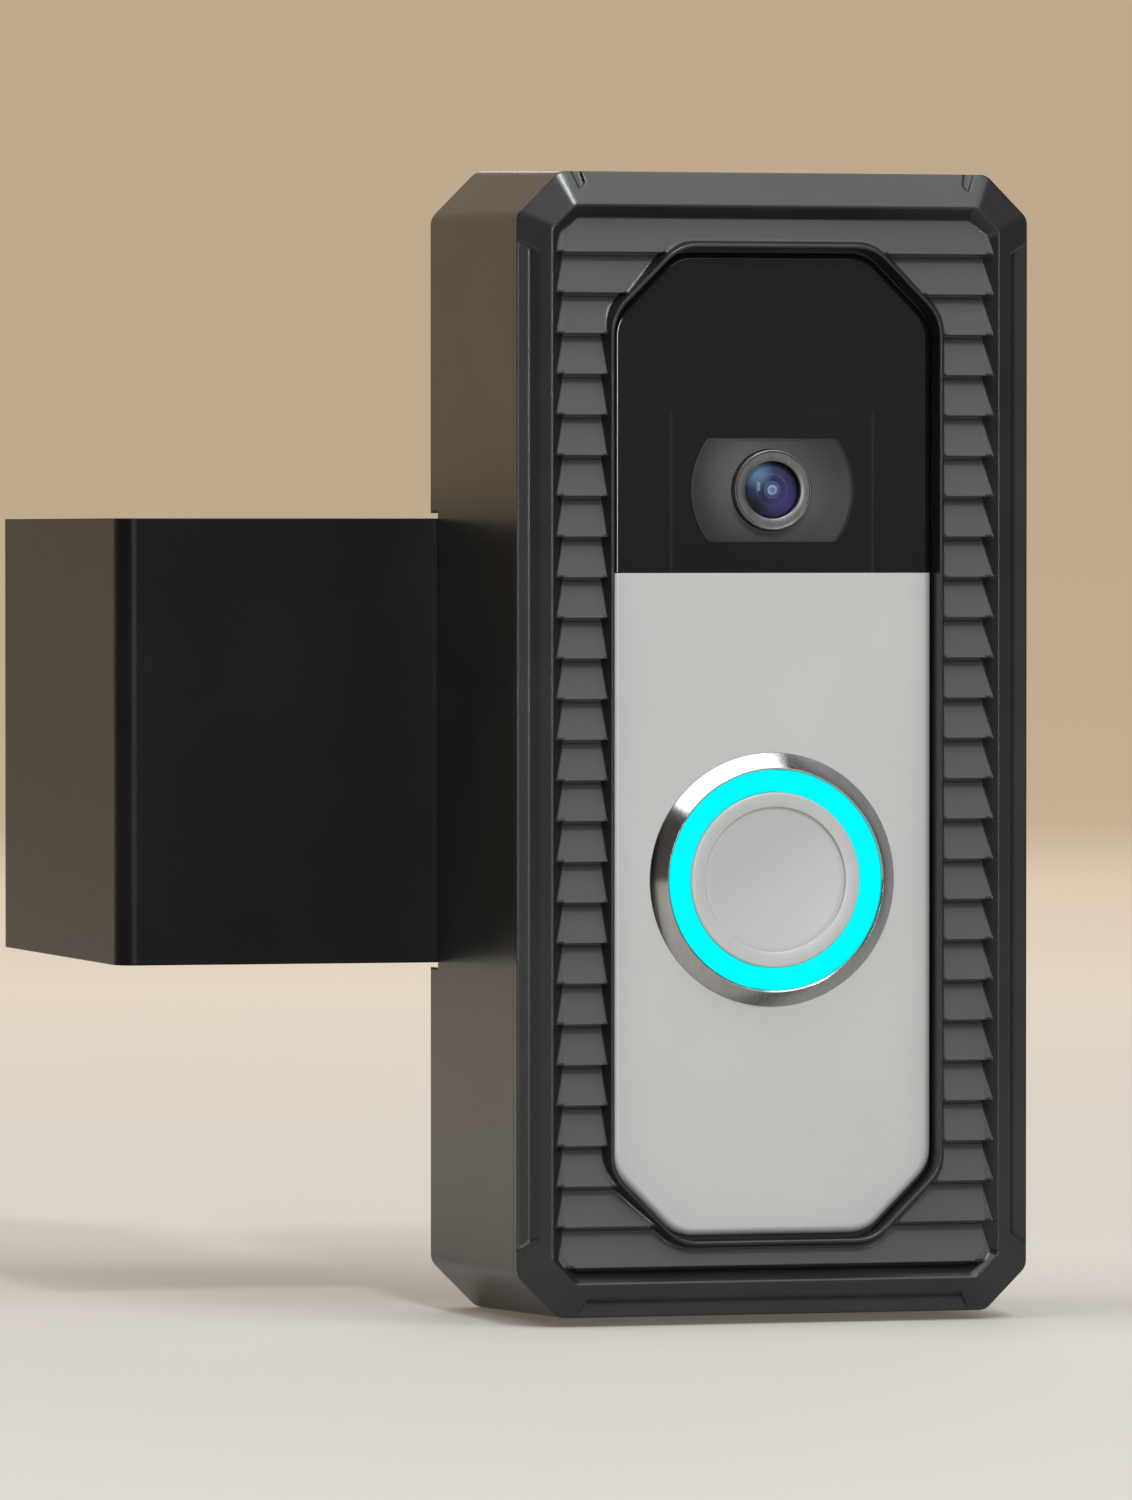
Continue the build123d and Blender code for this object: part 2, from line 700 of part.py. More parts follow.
with BuildPart() as mounting_plate:
    with BuildSketch(front(MOUNT_PLATE)):
        RectangleRounded(54.0, 112.0, 6.0)
        with Locations((0, -60.0)):
            Rectangle(28.0, 13.8)
        with GridLocations(*BRACKET_SCREWS, 2, 2):
            Circle(3.5, mode=Mode.SUBTRACT)
        with Locations((0, TERMINAL_Z)):
            RectangleRounded(26.0, 10.0, 2.0, mode=Mode.SUBTRACT)
        with Locations((0, 0), (0, -38.0)):
            RectangleRounded(14.0, 22.0, 2.0, mode=Mode.SUBTRACT)
    extrude(amount=MOUNT_THICK)
    with Locations(front(MOUNT_PLATE + MOUNT_THICK)):
        with GridLocations(*MOUNTING_SCREWS, 2, 2):
            CounterBoreHole(1.4, 2.7, 1.4)
    # tab under the housing for the security screws
    with BuildSketch(Plane.XY.offset(-66.9)):
        with Locations((0, -12.5)):
            Rectangle(28.0, 12.0)
        with pair(SECURITY_X, -SECURITY_DISTANCE):
            Circle(1.3, mode=Mode.SUBTRACT)
    extrude(amount=1.7)
finish(mounting_plate, "mounting_plate")

with BuildPart() as mounting_screws:
    head = MOUNT_PLATE + MOUNT_THICK - 1.3
    with BuildSketch(front(head)):
        with GridLocations(*MOUNTING_SCREWS, 2, 2):
            Circle(2.5)
    extrude(amount=1.2)
    with BuildSketch(front(head)):
        with GridLocations(*MOUNTING_SCREWS, 2, 2):
            Circle(1.2)
    extrude(amount=-(head - BASE_PLATE))
finish(mounting_screws, "mounting_screws")

with BuildPart() as security_screws:
    with BuildSketch(Plane.XY.offset(-68.2)):
        with pair(SECURITY_X, -SECURITY_DISTANCE):
            Circle(2.1)
    extrude(amount=1.3)
    with BuildSketch(Plane.XY.offset(-66.9)):
        with pair(SECURITY_X, -SECURITY_DISTANCE):
            Circle(1.2)
    extrude(amount=6.0)
finish(security_screws, "security_screws")

with BuildPart() as rear_housing:
    with BuildSketch(front(BODY_BACK)):
        RectangleRounded(BODY_WIDTH, BODY_HEIGHT, BODY_ROUND)
    extrude(amount=BODY_FRONT - BODY_BACK)
    fillet(rear_housing.faces().sort_by(Axis.Y)[-1].edges(), 1.5)
    with BuildSketch(front(BODY_BACK + BODY_WALL)):
        RectangleRounded(BODY_WIDTH - 2 * BODY_WALL, BODY_HEIGHT - 2 * BODY_WALL, BODY_ROUND - BODY_WALL)
    extrude(amount=BODY_FRONT, mode=Mode.SUBTRACT)
    # corner posts for the screws that hold the front shell
    with BuildSketch(front(BODY_BACK + BODY_WALL / 2)):
        with GridLocations(*HOUSING_SCREWS, 2, 2):
            Circle(POST_RADIUS)
    extrude(amount=BODY_FRONT - BODY_BACK - BODY_WALL / 2)
    with BuildSketch(front(BODY_BACK)):
        with GridLocations(*HOUSING_SCREWS, 2, 2):
            Circle(2.3)
    extrude(amount=HOUSING_SHANK_START - BODY_BACK, mode=Mode.SUBTRACT)
    with BuildSketch(front(BODY_BACK)):
        with GridLocations(*HOUSING_SCREWS, 2, 2):
            Circle(1.1)
    extrude(amount=BODY_FRONT - BODY_BACK, mode=Mode.SUBTRACT)
    # bosses for the security screws
    with BuildSketch(Plane.XY.offset(-BODY_HEIGHT / 2 + BODY_WALL / 2)):
        with pair(SECURITY_X, -SECURITY_DISTANCE):
            Circle(3.0)
    extrude(amount=5.0)
    with BuildSketch(Plane.XY.offset(-BODY_HEIGHT / 2)):
        with pair(SECURITY_X, -SECURITY_DISTANCE):
            Circle(1.25)
    extrude(amount=4.8, mode=Mode.SUBTRACT)
    # sound slots under the speaker, and holes for the terminal screws
    with BuildSketch(Plane.XY.offset(-BODY_HEIGHT / 2)):
        with Locations((0, -24.0)):
            with GridLocations(2.8, 1.0, 5, 1):
                SlotOverall(9.0, 1.2, rotation=90)
    extrude(amount=BODY_WALL, mode=Mode.SUBTRACT)
    with BuildSketch(front(BODY_BACK)):
        with pair(TERMINAL_X, TERMINAL_Z):
            Circle(1.7)
    extrude(amount=BODY_WALL, mode=Mode.SUBTRACT)
finish(rear_housing, "rear_housing")

with BuildPart() as housing_gasket:
    with BuildSketch(front(BODY_FRONT)):
        RectangleRounded(BODY_WIDTH - 0.8, BODY_HEIGHT - 0.8, BODY_ROUND - 0.4)
        RectangleRounded(BODY_WIDTH - 3.2, BODY_HEIGHT - 3.2, BODY_ROUND - 1.6, mode=Mode.SUBTRACT)
    extrude(amount=SHELL - BODY_FRONT)
finish(housing_gasket, "housing_gasket")

with BuildPart() as housing_screws:
    with BuildSketch(front(HOUSING_HEAD_START)):
        with GridLocations(*HOUSING_SCREWS, 2, 2):
            Circle(2.1)
    extrude(amount=HOUSING_SHANK_START - HOUSING_HEAD_START)
    with BuildSketch(front(HOUSING_SHANK_START)):
        with GridLocations(*HOUSING_SCREWS, 2, 2):
            Circle(1.0)
    extrude(amount=HOUSING_SCREW_LENGTH)
finish(housing_screws, "housing_screws")

with BuildPart() as front_shell:
    with BuildSketch(front(SHELL)):
        RectangleRounded(BODY_WIDTH, BODY_HEIGHT, BODY_ROUND)
    extrude(amount=SHOULDER - SHELL)
    fillet(front_shell.faces().sort_by(Axis.Y)[0].edges(), 1.0)
    # bosses that carry the two circuit boards
    with BuildSketch(front(BOARD_FRONT)):
        with Locations((0, MAIN_BOARD_Z)):
            with GridLocations(*MAIN_BOARD_SCREWS, 2, 2):
                Circle(BOARD_BOSS)
        with Locations((0, CAMERA_BOARD_Z)):
            with GridLocations(*CAMERA_BOARD_SCREWS, 2, 2):
                Circle(BOARD_BOSS)
    extrude(amount=SHELL - BOARD_FRONT + 0.5)
    with BuildSketch(front(BOARD_FRONT)):
        with Locations((0, MAIN_BOARD_Z)):
            with GridLocations(*MAIN_BOARD_SCREWS, 2, 2):
                Circle(1.0)
        with Locations((0, CAMERA_BOARD_Z)):
            with GridLocations(*CAMERA_BOARD_SCREWS, 2, 2):
                Circle(1.0)
    extrude(amount=4.2, mode=Mode.SUBTRACT)
    with BuildSketch(front(SHELL)):
        with GridLocations(*HOUSING_SCREWS, 2, 2):
            Circle(1.05)
    extrude(amount=1.8, mode=Mode.SUBTRACT)
    # openings for the lens, the infrared lamps, the motion sensor and the button
    with BuildSketch(front(SHELL)):
        with Locations((0, LENS_Z)):
            Circle(6.0)
        with pair(INFRARED_X, LENS_Z):
            Circle(3.0)
        with Locations((0, MOTION_Z)):
            RectangleRounded(30.0, 11.6, 1.0)
        with Locations((0, BUTTON_Z)):
            Circle(BEZEL_BORE + RUNNING)
    extrude(amount=SHOULDER - SHELL, mode=Mode.SUBTRACT)
finish(front_shell, "front_shell")

# --- Doorbell: visible face ------------------------------------------------------------------

with BuildPart() as face_blank:
    with BuildSketch(front(SHOULDER)):
        octagon(FACE_WIDTH, FACE_HEIGHT, FACE_CUT, FACE_ROUND)
    extrude(amount=FACE - SHOULDER)
    fillet(face_blank.faces().sort_by(Axis.Y)[0].edges(), FACE_EDGE)


def face_slice(low, high, back):
    """Keep the part of the face between two heights that lies in front of a distance."""
    with Locations((0, -(back + FACE) / 2, (low + high) / 2)):
        Box(FACE_WIDTH, FACE - back, high - low, mode=Mode.INTERSECT)


with BuildPart() as camera_cover:
    add(face_blank.part)
    face_slice(SEAM_Z + SEAM_GAP / 2, FACE_HEIGHT / 2, SHOULDER)
    with Locations((0, -(MOTION_FLOOR + 2.0), MOTION_Z)):
        Box(FACE_WIDTH, 4.0, MOTION_HIGH - MOTION_LOW, mode=Mode.SUBTRACT)
    with BuildSketch(front(SHOULDER)):
        with Locations((0, MOTION_Z)):
            RectangleRounded(28.0, 10.5, 1.0)
    extrude(amount=FACE - SHOULDER, mode=Mode.SUBTRACT)
    with BuildSketch(front(SHOULDER)):
        with Locations((0, LENS_Z)):
            Circle(WINDOW_RADIUS + RUNNING)
            Rectangle(2 * WINDOW_RADIUS + 1, 2 * (WINDOW_HALF_HEIGHT + RUNNING), mode=Mode.INTERSECT)
    extrude(amount=FACE - SHOULDER, mode=Mode.SUBTRACT)
finish(camera_cover, "camera_cover")

with BuildPart() as motion_window:
    add(face_blank.part)
    face_slice(MOTION_LOW + SEAM_GAP / 2, MOTION_HIGH - SEAM_GAP / 2, MOTION_FLOOR)
finish(motion_window, "motion_window")

with BuildPart() as faceplate:
    add(face_blank.part)
    face_slice(-FACE_HEIGHT / 2, SEAM_Z - SEAM_GAP / 2, SHOULDER)
    with BuildSketch(front(SHOULDER)):
        with Locations((0, BUTTON_Z)):
            Circle(BEZEL_NECK + RUNNING)
    extrude(amount=FACE - SHOULDER, mode=Mode.SUBTRACT)
finish(faceplate, "faceplate")

# --- Doorbell: camera ------------------------------------------------------------------------

with BuildPart() as camera_window:
    with BuildSketch(front(WINDOW_BACK)):
        with Locations((0, LENS_Z)):
            Circle(WINDOW_RADIUS)
            Rectangle(2 * WINDOW_RADIUS, 2 * WINDOW_HALF_HEIGHT, mode=Mode.INTERSECT)
    extrude(amount=WINDOW_FRONT - WINDOW_BACK)
    ahead = WINDOW_FRONT + 1
    dish = [(0, ahead), (10.5, ahead), (10.5, WINDOW_FRONT - 0.05), (5.4, DISH_FLOOR), (0, DISH_FLOOR)]
    turned(dish, 0, LENS_Z, Mode.SUBTRACT)
    with BuildSketch(front(WINDOW_BACK)):
        with Locations((0, LENS_Z)):
            Circle(LENS_RING_RADIUS + RUNNING)
    extrude(amount=WINDOW_FRONT - WINDOW_BACK, mode=Mode.SUBTRACT)
finish(camera_window, "camera_window")

with BuildPart() as lens_ring:
    section = [
        (LENS_RADIUS + 0.1, LENS_RING_BACK),
        (LENS_RING_RADIUS, LENS_RING_BACK),
        (LENS_RING_RADIUS, LENS_RING_FRONT - 0.3),
        (LENS_RING_RADIUS - 0.3, LENS_RING_FRONT),
        (LENS_RING_RADIUS - 1.0, LENS_RING_FRONT),
        (LENS_RADIUS + 0.1, LENS_RING_FRONT - 0.6),
    ]
    turned(section, 0, LENS_Z)
finish(lens_ring, "lens_ring")

with BuildPart() as lens_front:
    dome_radius, dome_height = cap_middle(LENS_RADIUS, LENS_DOME)
    rim = (LENS_RADIUS, -LENS_RIM)
    tip = (0, -(LENS_RIM + LENS_DOME))
    with BuildSketch(Plane.XY.offset(LENS_Z)):
        with BuildLine():
            Line((0, -LENS_BACK), (LENS_RADIUS, -LENS_BACK))
            Line((LENS_RADIUS, -LENS_BACK), rim)
            ThreePointArc(rim, (dome_radius, -(LENS_RIM + dome_height)), tip)
            Line(tip, (0, -LENS_BACK))
        make_face()
    revolve(axis=Axis((0, 0, LENS_Z), (0, 1, 0)))
finish(lens_front, "lens_front")

with BuildPart() as lens_barrel:
    section = [
        (BARREL_BORE, 30.4),
        (BARREL_RADIUS, 30.4),
        (BARREL_RADIUS, 36.5),
        (BARREL_LIP, 36.5),
        (BARREL_LIP, 35.0),
        (BARREL_BORE, 35.0),
    ]
    turned(section, 0, LENS_Z)
finish(lens_barrel, "lens_barrel")

with BuildPart() as lens_inner:
    turned([(0, 31.6), (3.05, 32.2), (3.05, 33.4), (0, 34.0)], 0, LENS_Z)
finish(lens_inner, "lens_inner")

with BuildPart() as lens_holder:
    with BuildSketch(front(BOARD_FRONT)):
        with Locations((0, LENS_Z)):
            RectangleRounded(13.0, 13.0, 1.5)
            Circle(BARREL_RADIUS + RUNNING, mode=Mode.SUBTRACT)
    extrude(amount=4.4)
finish(lens_holder, "lens_holder")

with BuildPart() as image_sensor:
    with Locations((0, -(BOARD_FRONT + 0.6), LENS_Z)):
        Box(6.0, 1.2, 5.0)
finish(image_sensor, "image_sensor")

with BuildPart() as infrared_leds:
    with BuildSketch(front(BOARD_FRONT)):
        with pair(INFRARED_X, LENS_Z):
            Circle(2.5)
    extrude(amount=4.6)
    fillet(infrared_leds.faces().filter_by(Axis.Y).group_by(Axis.Y)[0].edges(), 1.2)
finish(infrared_leds, "infrared_leds")

with BuildPart() as motion_lens:
    with BuildSketch(front(34.2)):
        with Locations((0, MOTION_Z)):
            Rectangle(29.4, 11.0)
    extrude(amount=1.0)
    with BuildSketch(front(34.2)):
        with Locations((0, MOTION_Z)):
            with GridLocations(4.0, 1.0, 7, 1):
                Rectangle(2.6, 9.4)
    extrude(amount=0.5, mode=Mode.SUBTRACT)
finish(motion_lens, "motion_lens")

with BuildPart() as motion_sensor:
    section = [
        (0, BOARD_FRONT),
        (4.7, BOARD_FRONT),
        (4.7, BOARD_FRONT + 0.5),
        (4.1, BOARD_FRONT + 0.5),
        (4.1, 32.0),
        (3.7, 32.4),
        (0, 32.4),
    ]
    turned(section, 0, MOTION_Z)
    with Locations((0, -32.4, MOTION_Z)):
        Box(4.0, 0.8, 3.0, mode=Mode.SUBTRACT)
finish(motion_sensor, "motion_sensor")

with BuildPart() as camera_board:
    with BuildSketch(front(BOARD)):
        with Locations((0, CAMERA_BOARD_Z)):
            RectangleRounded(*CAMERA_BOARD_SIZE, 1.5)
            with GridLocations(*CAMERA_BOARD_SCREWS, 2, 2):
                Circle(1.1, mode=Mode.SUBTRACT)
    extrude(amount=BOARD_THICK)
finish(camera_board, "camera_board")

# --- Doorbell: main board, battery and speaker -------------------------------------------------

with BuildPart() as main_board:
    with BuildSketch(front(BOARD)):
        with Locations((0, MAIN_BOARD_Z)):
            RectangleRounded(*MAIN_BOARD_SIZE, 1.5)
            with GridLocations(*MAIN_BOARD_SCREWS, 2, 2):
                Circle(1.1, mode=Mode.SUBTRACT)
    extrude(amount=BOARD_THICK)
finish(main_board, "main_board")

with BuildPart() as board_screws:
    with BuildSketch(front(BOARD - 1.0)):
        with Locations((0, MAIN_BOARD_Z)):
            with GridLocations(*MAIN_BOARD_SCREWS, 2, 2):
                Circle(BOARD_SCREW_HEAD)
        with Locations((0, CAMERA_BOARD_Z)):
            with GridLocations(*CAMERA_BOARD_SCREWS, 2, 2):
                Circle(BOARD_SCREW_HEAD)
    extrude(amount=1.0)
    with BuildSketch(front(BOARD)):
        with Locations((0, MAIN_BOARD_Z)):
            with GridLocations(*MAIN_BOARD_SCREWS, 2, 2):
                Circle(BOARD_SCREW_SHANK)
        with Locations((0, CAMERA_BOARD_Z)):
            with GridLocations(*CAMERA_BOARD_SCREWS, 2, 2):
                Circle(BOARD_SCREW_SHANK)
    extrude(amount=BOARD_SCREW_LENGTH)
finish(board_screws, "board_screws")

with BuildPart() as shield_can:
    with BuildSketch(front(BOARD_FRONT)):
        with Locations((0, 5.0)):
            RectangleRounded(26.0, 10.0, 0.8)
    extrude(amount=2.2)
    offset(amount=-0.2, openings=shield_can.faces().sort_by(Axis.Y)[-1])
finish(shield_can, "shield_can")

with BuildPart() as board_chips:
    with BuildSketch(front(BOARD - 0.9)):
        with Locations((-8.0, 2.0)):
            Rectangle(10.0, 10.0)
        with Locations((8.0, 3.0)):
            Rectangle(8.0, 11.0)
        with Locations((-6.0, -16.0)):
            Rectangle(7.0, 7.0)
        with Locations((9.0, -14.0)):
            Rectangle(5.0, 4.0)
    extrude(amount=0.9)
finish(board_chips, "board_chips")

with BuildPart() as battery_contacts:
    with BuildSketch(front(BATTERY_FRONT)):
        with Locations((0, -29.0)):
            with GridLocations(4.0, 1.0, 3, 1):
                Rectangle(2.0, 5.0)
    extrude(amount=BOARD - BATTERY_FRONT)
finish(battery_contacts, "battery_contacts")

with BuildPart() as battery_pack:
    with BuildSketch(front(BATTERY_BACK)):
        with Locations((0, BATTERY_Z)):
            RectangleRounded(*BATTERY_SIZE, 4.0)
    extrude(amount=BATTERY_FRONT - BATTERY_BACK)
    fillet(battery_pack.faces().filter_by(Axis.Y).edges(), 1.0)
finish(battery_pack, "battery_pack")

with BuildPart() as wifi_antenna:
    with Locations((27.4, -18.0, 0)):
        Box(0.6, 8.0, 42.0)
finish(wifi_antenna, "wifi_antenna")

with BuildPart() as speaker:
    magnet_and_basket = [(0, 20.0), (6.5, 20.0), (6.5, 25.0), (8.5, 25.6), (11.0, 28.6), (11.8, 28.6)]
    rim_and_cone = [(11.8, 32.6), (10.4, 32.6), (8.6, 31.2), (3.0, 30.2), (0, 30.8)]
    turned(magnet_and_basket + rim_and_cone, 0, SPEAKER_Z)
finish(speaker, "speaker")

with BuildPart() as microphone:
    with Locations((17.0, -(BOARD_FRONT + 0.6), 2.0)):
        Box(3.0, 1.2, 3.8)
finish(microphone, "microphone")

with BuildPart() as terminal_block:
    with Locations((0, -13.0, TERMINAL_Z)):
        Box(24.0, 6.0, 9.0)
    with BuildSketch(front(10.0)):
        with pair(TERMINAL_X, TERMINAL_Z):
            Circle(1.55)
    extrude(amount=5.0, mode=Mode.SUBTRACT)
finish(terminal_block, "terminal_block")

with BuildPart() as terminal_screws:
    with BuildSketch(front(BODY_BACK - SCREW_HEAD_THICK)):
        with pair(TERMINAL_X, TERMINAL_Z):
            Circle(TERMINAL_HEAD)
    extrude(amount=SCREW_HEAD_THICK)
    with BuildSketch(front(BODY_BACK)):
        with pair(TERMINAL_X, TERMINAL_Z):
            Circle(TERMINAL_SHANK)
    extrude(amount=6.5)
    long, narrow = TERMINAL_SLOT
    with BuildSketch(front(BODY_BACK - SCREW_HEAD_THICK)):
        with pair(TERMINAL_X, TERMINAL_Z):
            Rectangle(long, narrow)
            Rectangle(narrow, long)
    extrude(amount=SOCKET_DEPTH, mode=Mode.SUBTRACT)
finish(terminal_screws, "terminal_screws")

# --- Doorbell: button --------------------------------------------------------------------------

with BuildPart() as button_bezel:
    with BuildSketch(Plane.XY.offset(BUTTON_Z)):
        with BuildLine():
            Line((BEZEL_BORE, -SHOULDER), (BEZEL_NECK, -SHOULDER))
            Line((BEZEL_NECK, -SHOULDER), (BEZEL_NECK, -FACE))
            Line((BEZEL_NECK, -FACE), (BEZEL_RADIUS, -FACE))
            Line((BEZEL_RADIUS, -FACE), (BEZEL_INNER, -BEZEL_CREST))
            Line((BEZEL_INNER, -BEZEL_CREST), (BEZEL_BORE, -(BEZEL_CREST - BEZEL_INNER_STEP)))
            Line((BEZEL_BORE, -(BEZEL_CREST - BEZEL_INNER_STEP)), (BEZEL_BORE, -SHOULDER))
        make_face()
    revolve(axis=Axis((0, 0, BUTTON_Z), (0, 1, 0)))
finish(button_bezel, "button_bezel")

with BuildPart() as button_cap:
    section = [
        (0, CAP_BACK),
        (CAP_FLANGE, CAP_BACK),
        (CAP_FLANGE, CAP_FLANGE_TOP),
        (CAP_RADIUS, CAP_FLANGE_TOP),
        (CAP_RADIUS, CAP_TOP),
        (0, CAP_TOP),
    ]
    turned(section, 0, BUTTON_Z)
    fillet(button_cap.faces().sort_by(Axis.Y)[0].edges(), 0.3)
    # dished centre with a stepped rim
    dish_radius, dish_height = cap_middle(DISH_RADIUS, DISH_DEPTH)
    step = CAP_TOP - DISH_STEP
    ahead = CAP_TOP + 1
    rim = (DISH_RADIUS, -step)
    centre = (0, -(step - DISH_DEPTH))
    with BuildSketch(Plane.XY.offset(BUTTON_Z)):
        with BuildLine():
            Line((0, -ahead), (DISH_RADIUS, -ahead))
            Line((DISH_RADIUS, -ahead), rim)
            ThreePointArc(rim, (dish_radius, -(step - dish_height)), centre)
            Line(centre, (0, -ahead))
        make_face()
    revolve(axis=Axis((0, 0, BUTTON_Z), (0, 1, 0)), mode=Mode.SUBTRACT)
finish(button_cap, "button_cap")

with BuildPart() as light_ring:
    with BuildSketch(front(CAP_FLANGE_TOP + 0.02)):
        with Locations((0, BUTTON_Z)):
            Circle(RING_RADIUS)
            Circle(RING_BORE, mode=Mode.SUBTRACT)
    extrude(amount=CAP_TOP + 0.1 - CAP_FLANGE_TOP)
    fillet(light_ring.faces().sort_by(Axis.Y)[0].edges(), 0.3)
finish(light_ring, "light_ring")

with BuildPart() as button_spring:
    foot = BOARD_FRONT + 1.0
    section = [(4.6, BOARD_FRONT), (6.4, BOARD_FRONT), (6.4, foot), (5.6, CAP_BACK), (4.9, CAP_BACK), (5.6, foot)]
    turned(section, 0, BUTTON_Z)
finish(button_spring, "button_spring")

with BuildPart() as switch_body:
    with BuildSketch(front(BOARD_FRONT)):
        with Locations((0, BUTTON_Z)):
            Rectangle(SWITCH_SIZE, SWITCH_SIZE)
    extrude(amount=SWITCH_HEIGHT)
    with BuildSketch(front(BOARD_FRONT + 0.6)):
        with Locations((0, BUTTON_Z)):
            Circle(1.85)
    extrude(amount=2.2, mode=Mode.SUBTRACT)
finish(switch_body, "switch_body")

with BuildPart() as switch_plunger:
    with BuildSketch(front(PLUNGER_START)):
        with Locations((0, BUTTON_Z)):
            Circle(PLUNGER_RADIUS)
    extrude(amount=CAP_BACK - PLUNGER_START)
finish(switch_plunger, "switch_plunger")

with BuildPart() as ring_leds:
    with BuildSketch(front(BOARD_FRONT)):
        with Locations((0, BUTTON_Z)):
            with PolarLocations(RING_LED_PLACE, RING_LED_COUNT):
                Rectangle(2.0, 2.0)
    extrude(amount=0.8)
finish(ring_leds, "ring_leds")
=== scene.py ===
"""Looks of a slim video doorbell in a louvred door case, held on a steel door clamp.

The CAD model gives the shapes. This script gives every CAD part a procedural material, rebuilds the four
parts whose detail CAD leaves out (button cap, lens ring and the two clamp screws), and sets up the studio
and the camera.
Lengths are in metres, in the CAD model's own frame: X right, Y into the door, Z up.
"""

import math

import bmesh
import bpy
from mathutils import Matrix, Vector


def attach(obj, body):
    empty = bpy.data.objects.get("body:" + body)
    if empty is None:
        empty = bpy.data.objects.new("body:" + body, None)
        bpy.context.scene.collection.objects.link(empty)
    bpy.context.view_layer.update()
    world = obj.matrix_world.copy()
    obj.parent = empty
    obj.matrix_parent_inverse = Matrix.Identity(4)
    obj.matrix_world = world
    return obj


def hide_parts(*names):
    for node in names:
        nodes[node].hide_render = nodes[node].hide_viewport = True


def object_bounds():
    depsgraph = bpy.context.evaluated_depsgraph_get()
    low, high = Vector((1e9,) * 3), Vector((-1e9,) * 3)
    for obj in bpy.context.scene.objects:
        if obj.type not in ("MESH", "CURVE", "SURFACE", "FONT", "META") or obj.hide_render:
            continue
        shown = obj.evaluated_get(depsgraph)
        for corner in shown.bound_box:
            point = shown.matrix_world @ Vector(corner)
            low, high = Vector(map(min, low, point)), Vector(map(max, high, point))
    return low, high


MM = 0.001
FULL_TURN = 2 * math.pi

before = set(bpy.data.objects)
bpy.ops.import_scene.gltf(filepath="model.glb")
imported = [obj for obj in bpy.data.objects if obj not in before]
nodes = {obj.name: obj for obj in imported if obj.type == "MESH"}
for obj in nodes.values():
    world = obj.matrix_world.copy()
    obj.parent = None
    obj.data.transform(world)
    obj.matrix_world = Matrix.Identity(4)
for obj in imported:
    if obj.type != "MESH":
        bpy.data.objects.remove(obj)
cad_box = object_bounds()


# ---------------------------------------------------------------- shader building blocks
EDGE_SAMPLES = 12
EVEN = (1, 1, 1)
IN_FACE = (1, 0, 1)
TONE_STOPS = (0.35, 0.65)


def grey(level):
    return (level, level, level)


